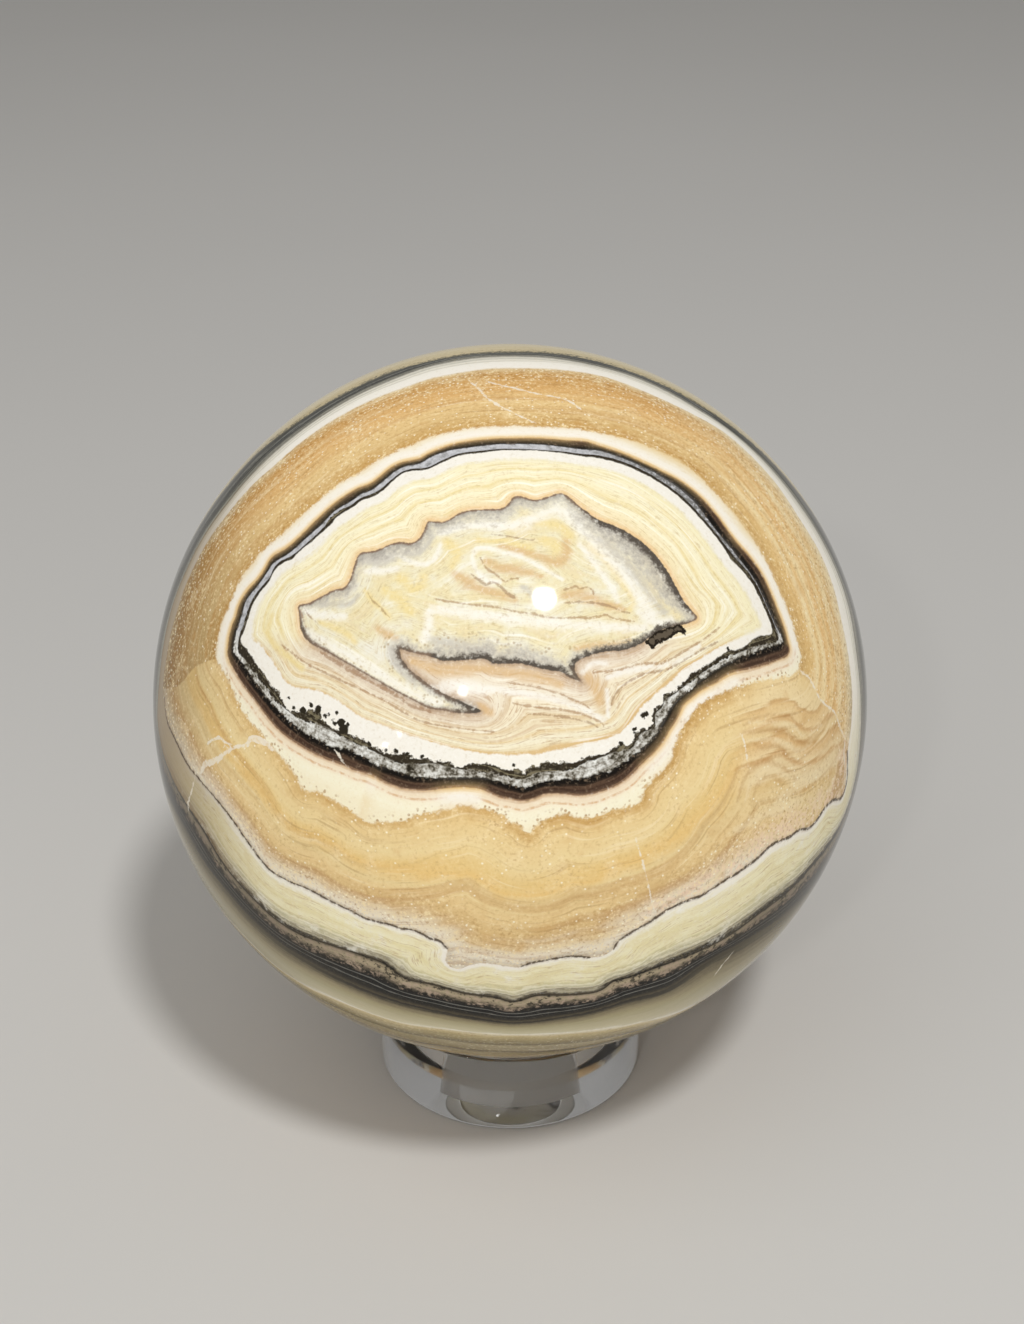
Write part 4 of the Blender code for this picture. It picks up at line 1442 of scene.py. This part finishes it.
def add_camera():
    """The camera that sees the stone where the photograph shows it."""
    data = bpy.data.cameras.new("camera")
    data.sensor_width = SENSOR_SIZE
    data.lens = FOCAL_PIXELS / IMAGE_HEIGHT * SENSOR_SIZE
    data.clip_start = CLIP_START
    camera = add_object("camera", data)
    camera.location = EYE
    camera.rotation_euler = (PITCH, 0.0, YAW)
    bpy.context.scene.camera = camera


# The floor, and how its shade varies with noise
FLOOR_SIZE = 8.0
FLOOR_DROP = 0.0002  # the air under the ring, so that its base and the floor aren't one face
FLOOR_PATCH = 0.4
FLOOR_SHADES = [(-2, (202, 200, 196)), (2, (208, 206, 202))]
FLOOR_ROUGHNESS = 0.9
FLOOR_SPECULAR = 0.1


def add_floor():
    """A plain pale floor."""
    bpy.ops.mesh.primitive_plane_add(size=FLOOR_SIZE, location=(0.0, 0.0, -FLOOR_DROP))
    floor = bpy.context.object
    floor.name = "floor"
    s = Surface("pale_floor", 1.0)
    cloudy = s.noise(FLOOR_PATCH, 3).ramp(FLOOR_SHADES)
    floor.data.materials.append(s.finished(
        Base_Color=cloudy, Roughness=FLOOR_ROUGHNESS, Specular_IOR_Level=FLOOR_SPECULAR
    ))


def add_light(name, place, size, power, mirrored=True):
    """A disc of light that faces the stone."""
    data = bpy.data.lights.new(name, "AREA")
    data.shape = "DISK"
    data.size = size
    data.energy = power
    lamp = add_object(name, data)
    lamp.location = place
    lamp.rotation_euler = (Vector(CENTRE) - lamp.location).to_track_quat("-Z", "Y").to_euler()
    lamp.visible_glossy = mirrored


def mirrored_towards(pixel):
    """The direction from the stone of a light that is mirrored at a pixel."""
    normal = on_stone([pixel])[0]
    seen = EYE - CENTRE - RADIUS * normal
    seen /= np.linalg.norm(seen)
    return 2 * np.dot(seen, normal) * normal - seen


# Small lights that the polish mirrors as round spots: pixel and radius of the spot
SPOT_DISTANCE = 1.2
SPOT_RADIANCE = 150.0
SPOTS = [((543.5, 600.5), 10.5), ((464, 691.5), 4.0), ((402, 733), 1.6), ((388, 744), 2.2)]

# Soft lamps, none of which the polish mirrors: name, place, size and power
LAMPS = [
    ("key", (-0.5, -0.75, 1.2), 1.4, 4.5),
    ("fill", (0.7, -1.2, 0.1), 1.4, 2.6),
    ("side", (-0.95, -0.9, 0.15), 1.2, 0.8),
]
SKY_STRENGTH = 0.27
SKY_TINT = (1.0, 0.99, 0.975, 1.0)


def add_sky():
    """Plain soft light from all round."""
    world = bpy.data.worlds.new("studio")
    world.use_nodes = True
    background = world.node_tree.nodes["Background"]
    background.inputs["Color"].default_value = SKY_TINT
    background.inputs["Strength"].default_value = SKY_STRENGTH
    bpy.context.scene.world = world


def add_lights():
    """The soft lamps, and the small lights that the polish mirrors."""
    for name, place, size, power in LAMPS:
        add_light(name, place, size, power, mirrored=False)
    for number, (pixel, spot_pixels) in enumerate(SPOTS):
        place = CENTRE + SPOT_DISTANCE * mirrored_towards(pixel)
        radius = SPOT_DISTANCE * math.tan(2 * spot_pixels / STONE_RADIUS_PIXELS)
        area = math.pi * radius**2
        add_light(f"spot_{number}", place, 2 * radius, SPOT_RADIANCE * math.pi * area)
    add_sky()
    bpy.context.scene.view_settings.view_transform = "Standard"


add_stone()
add_ring()
add_camera()
add_floor()
add_lights()
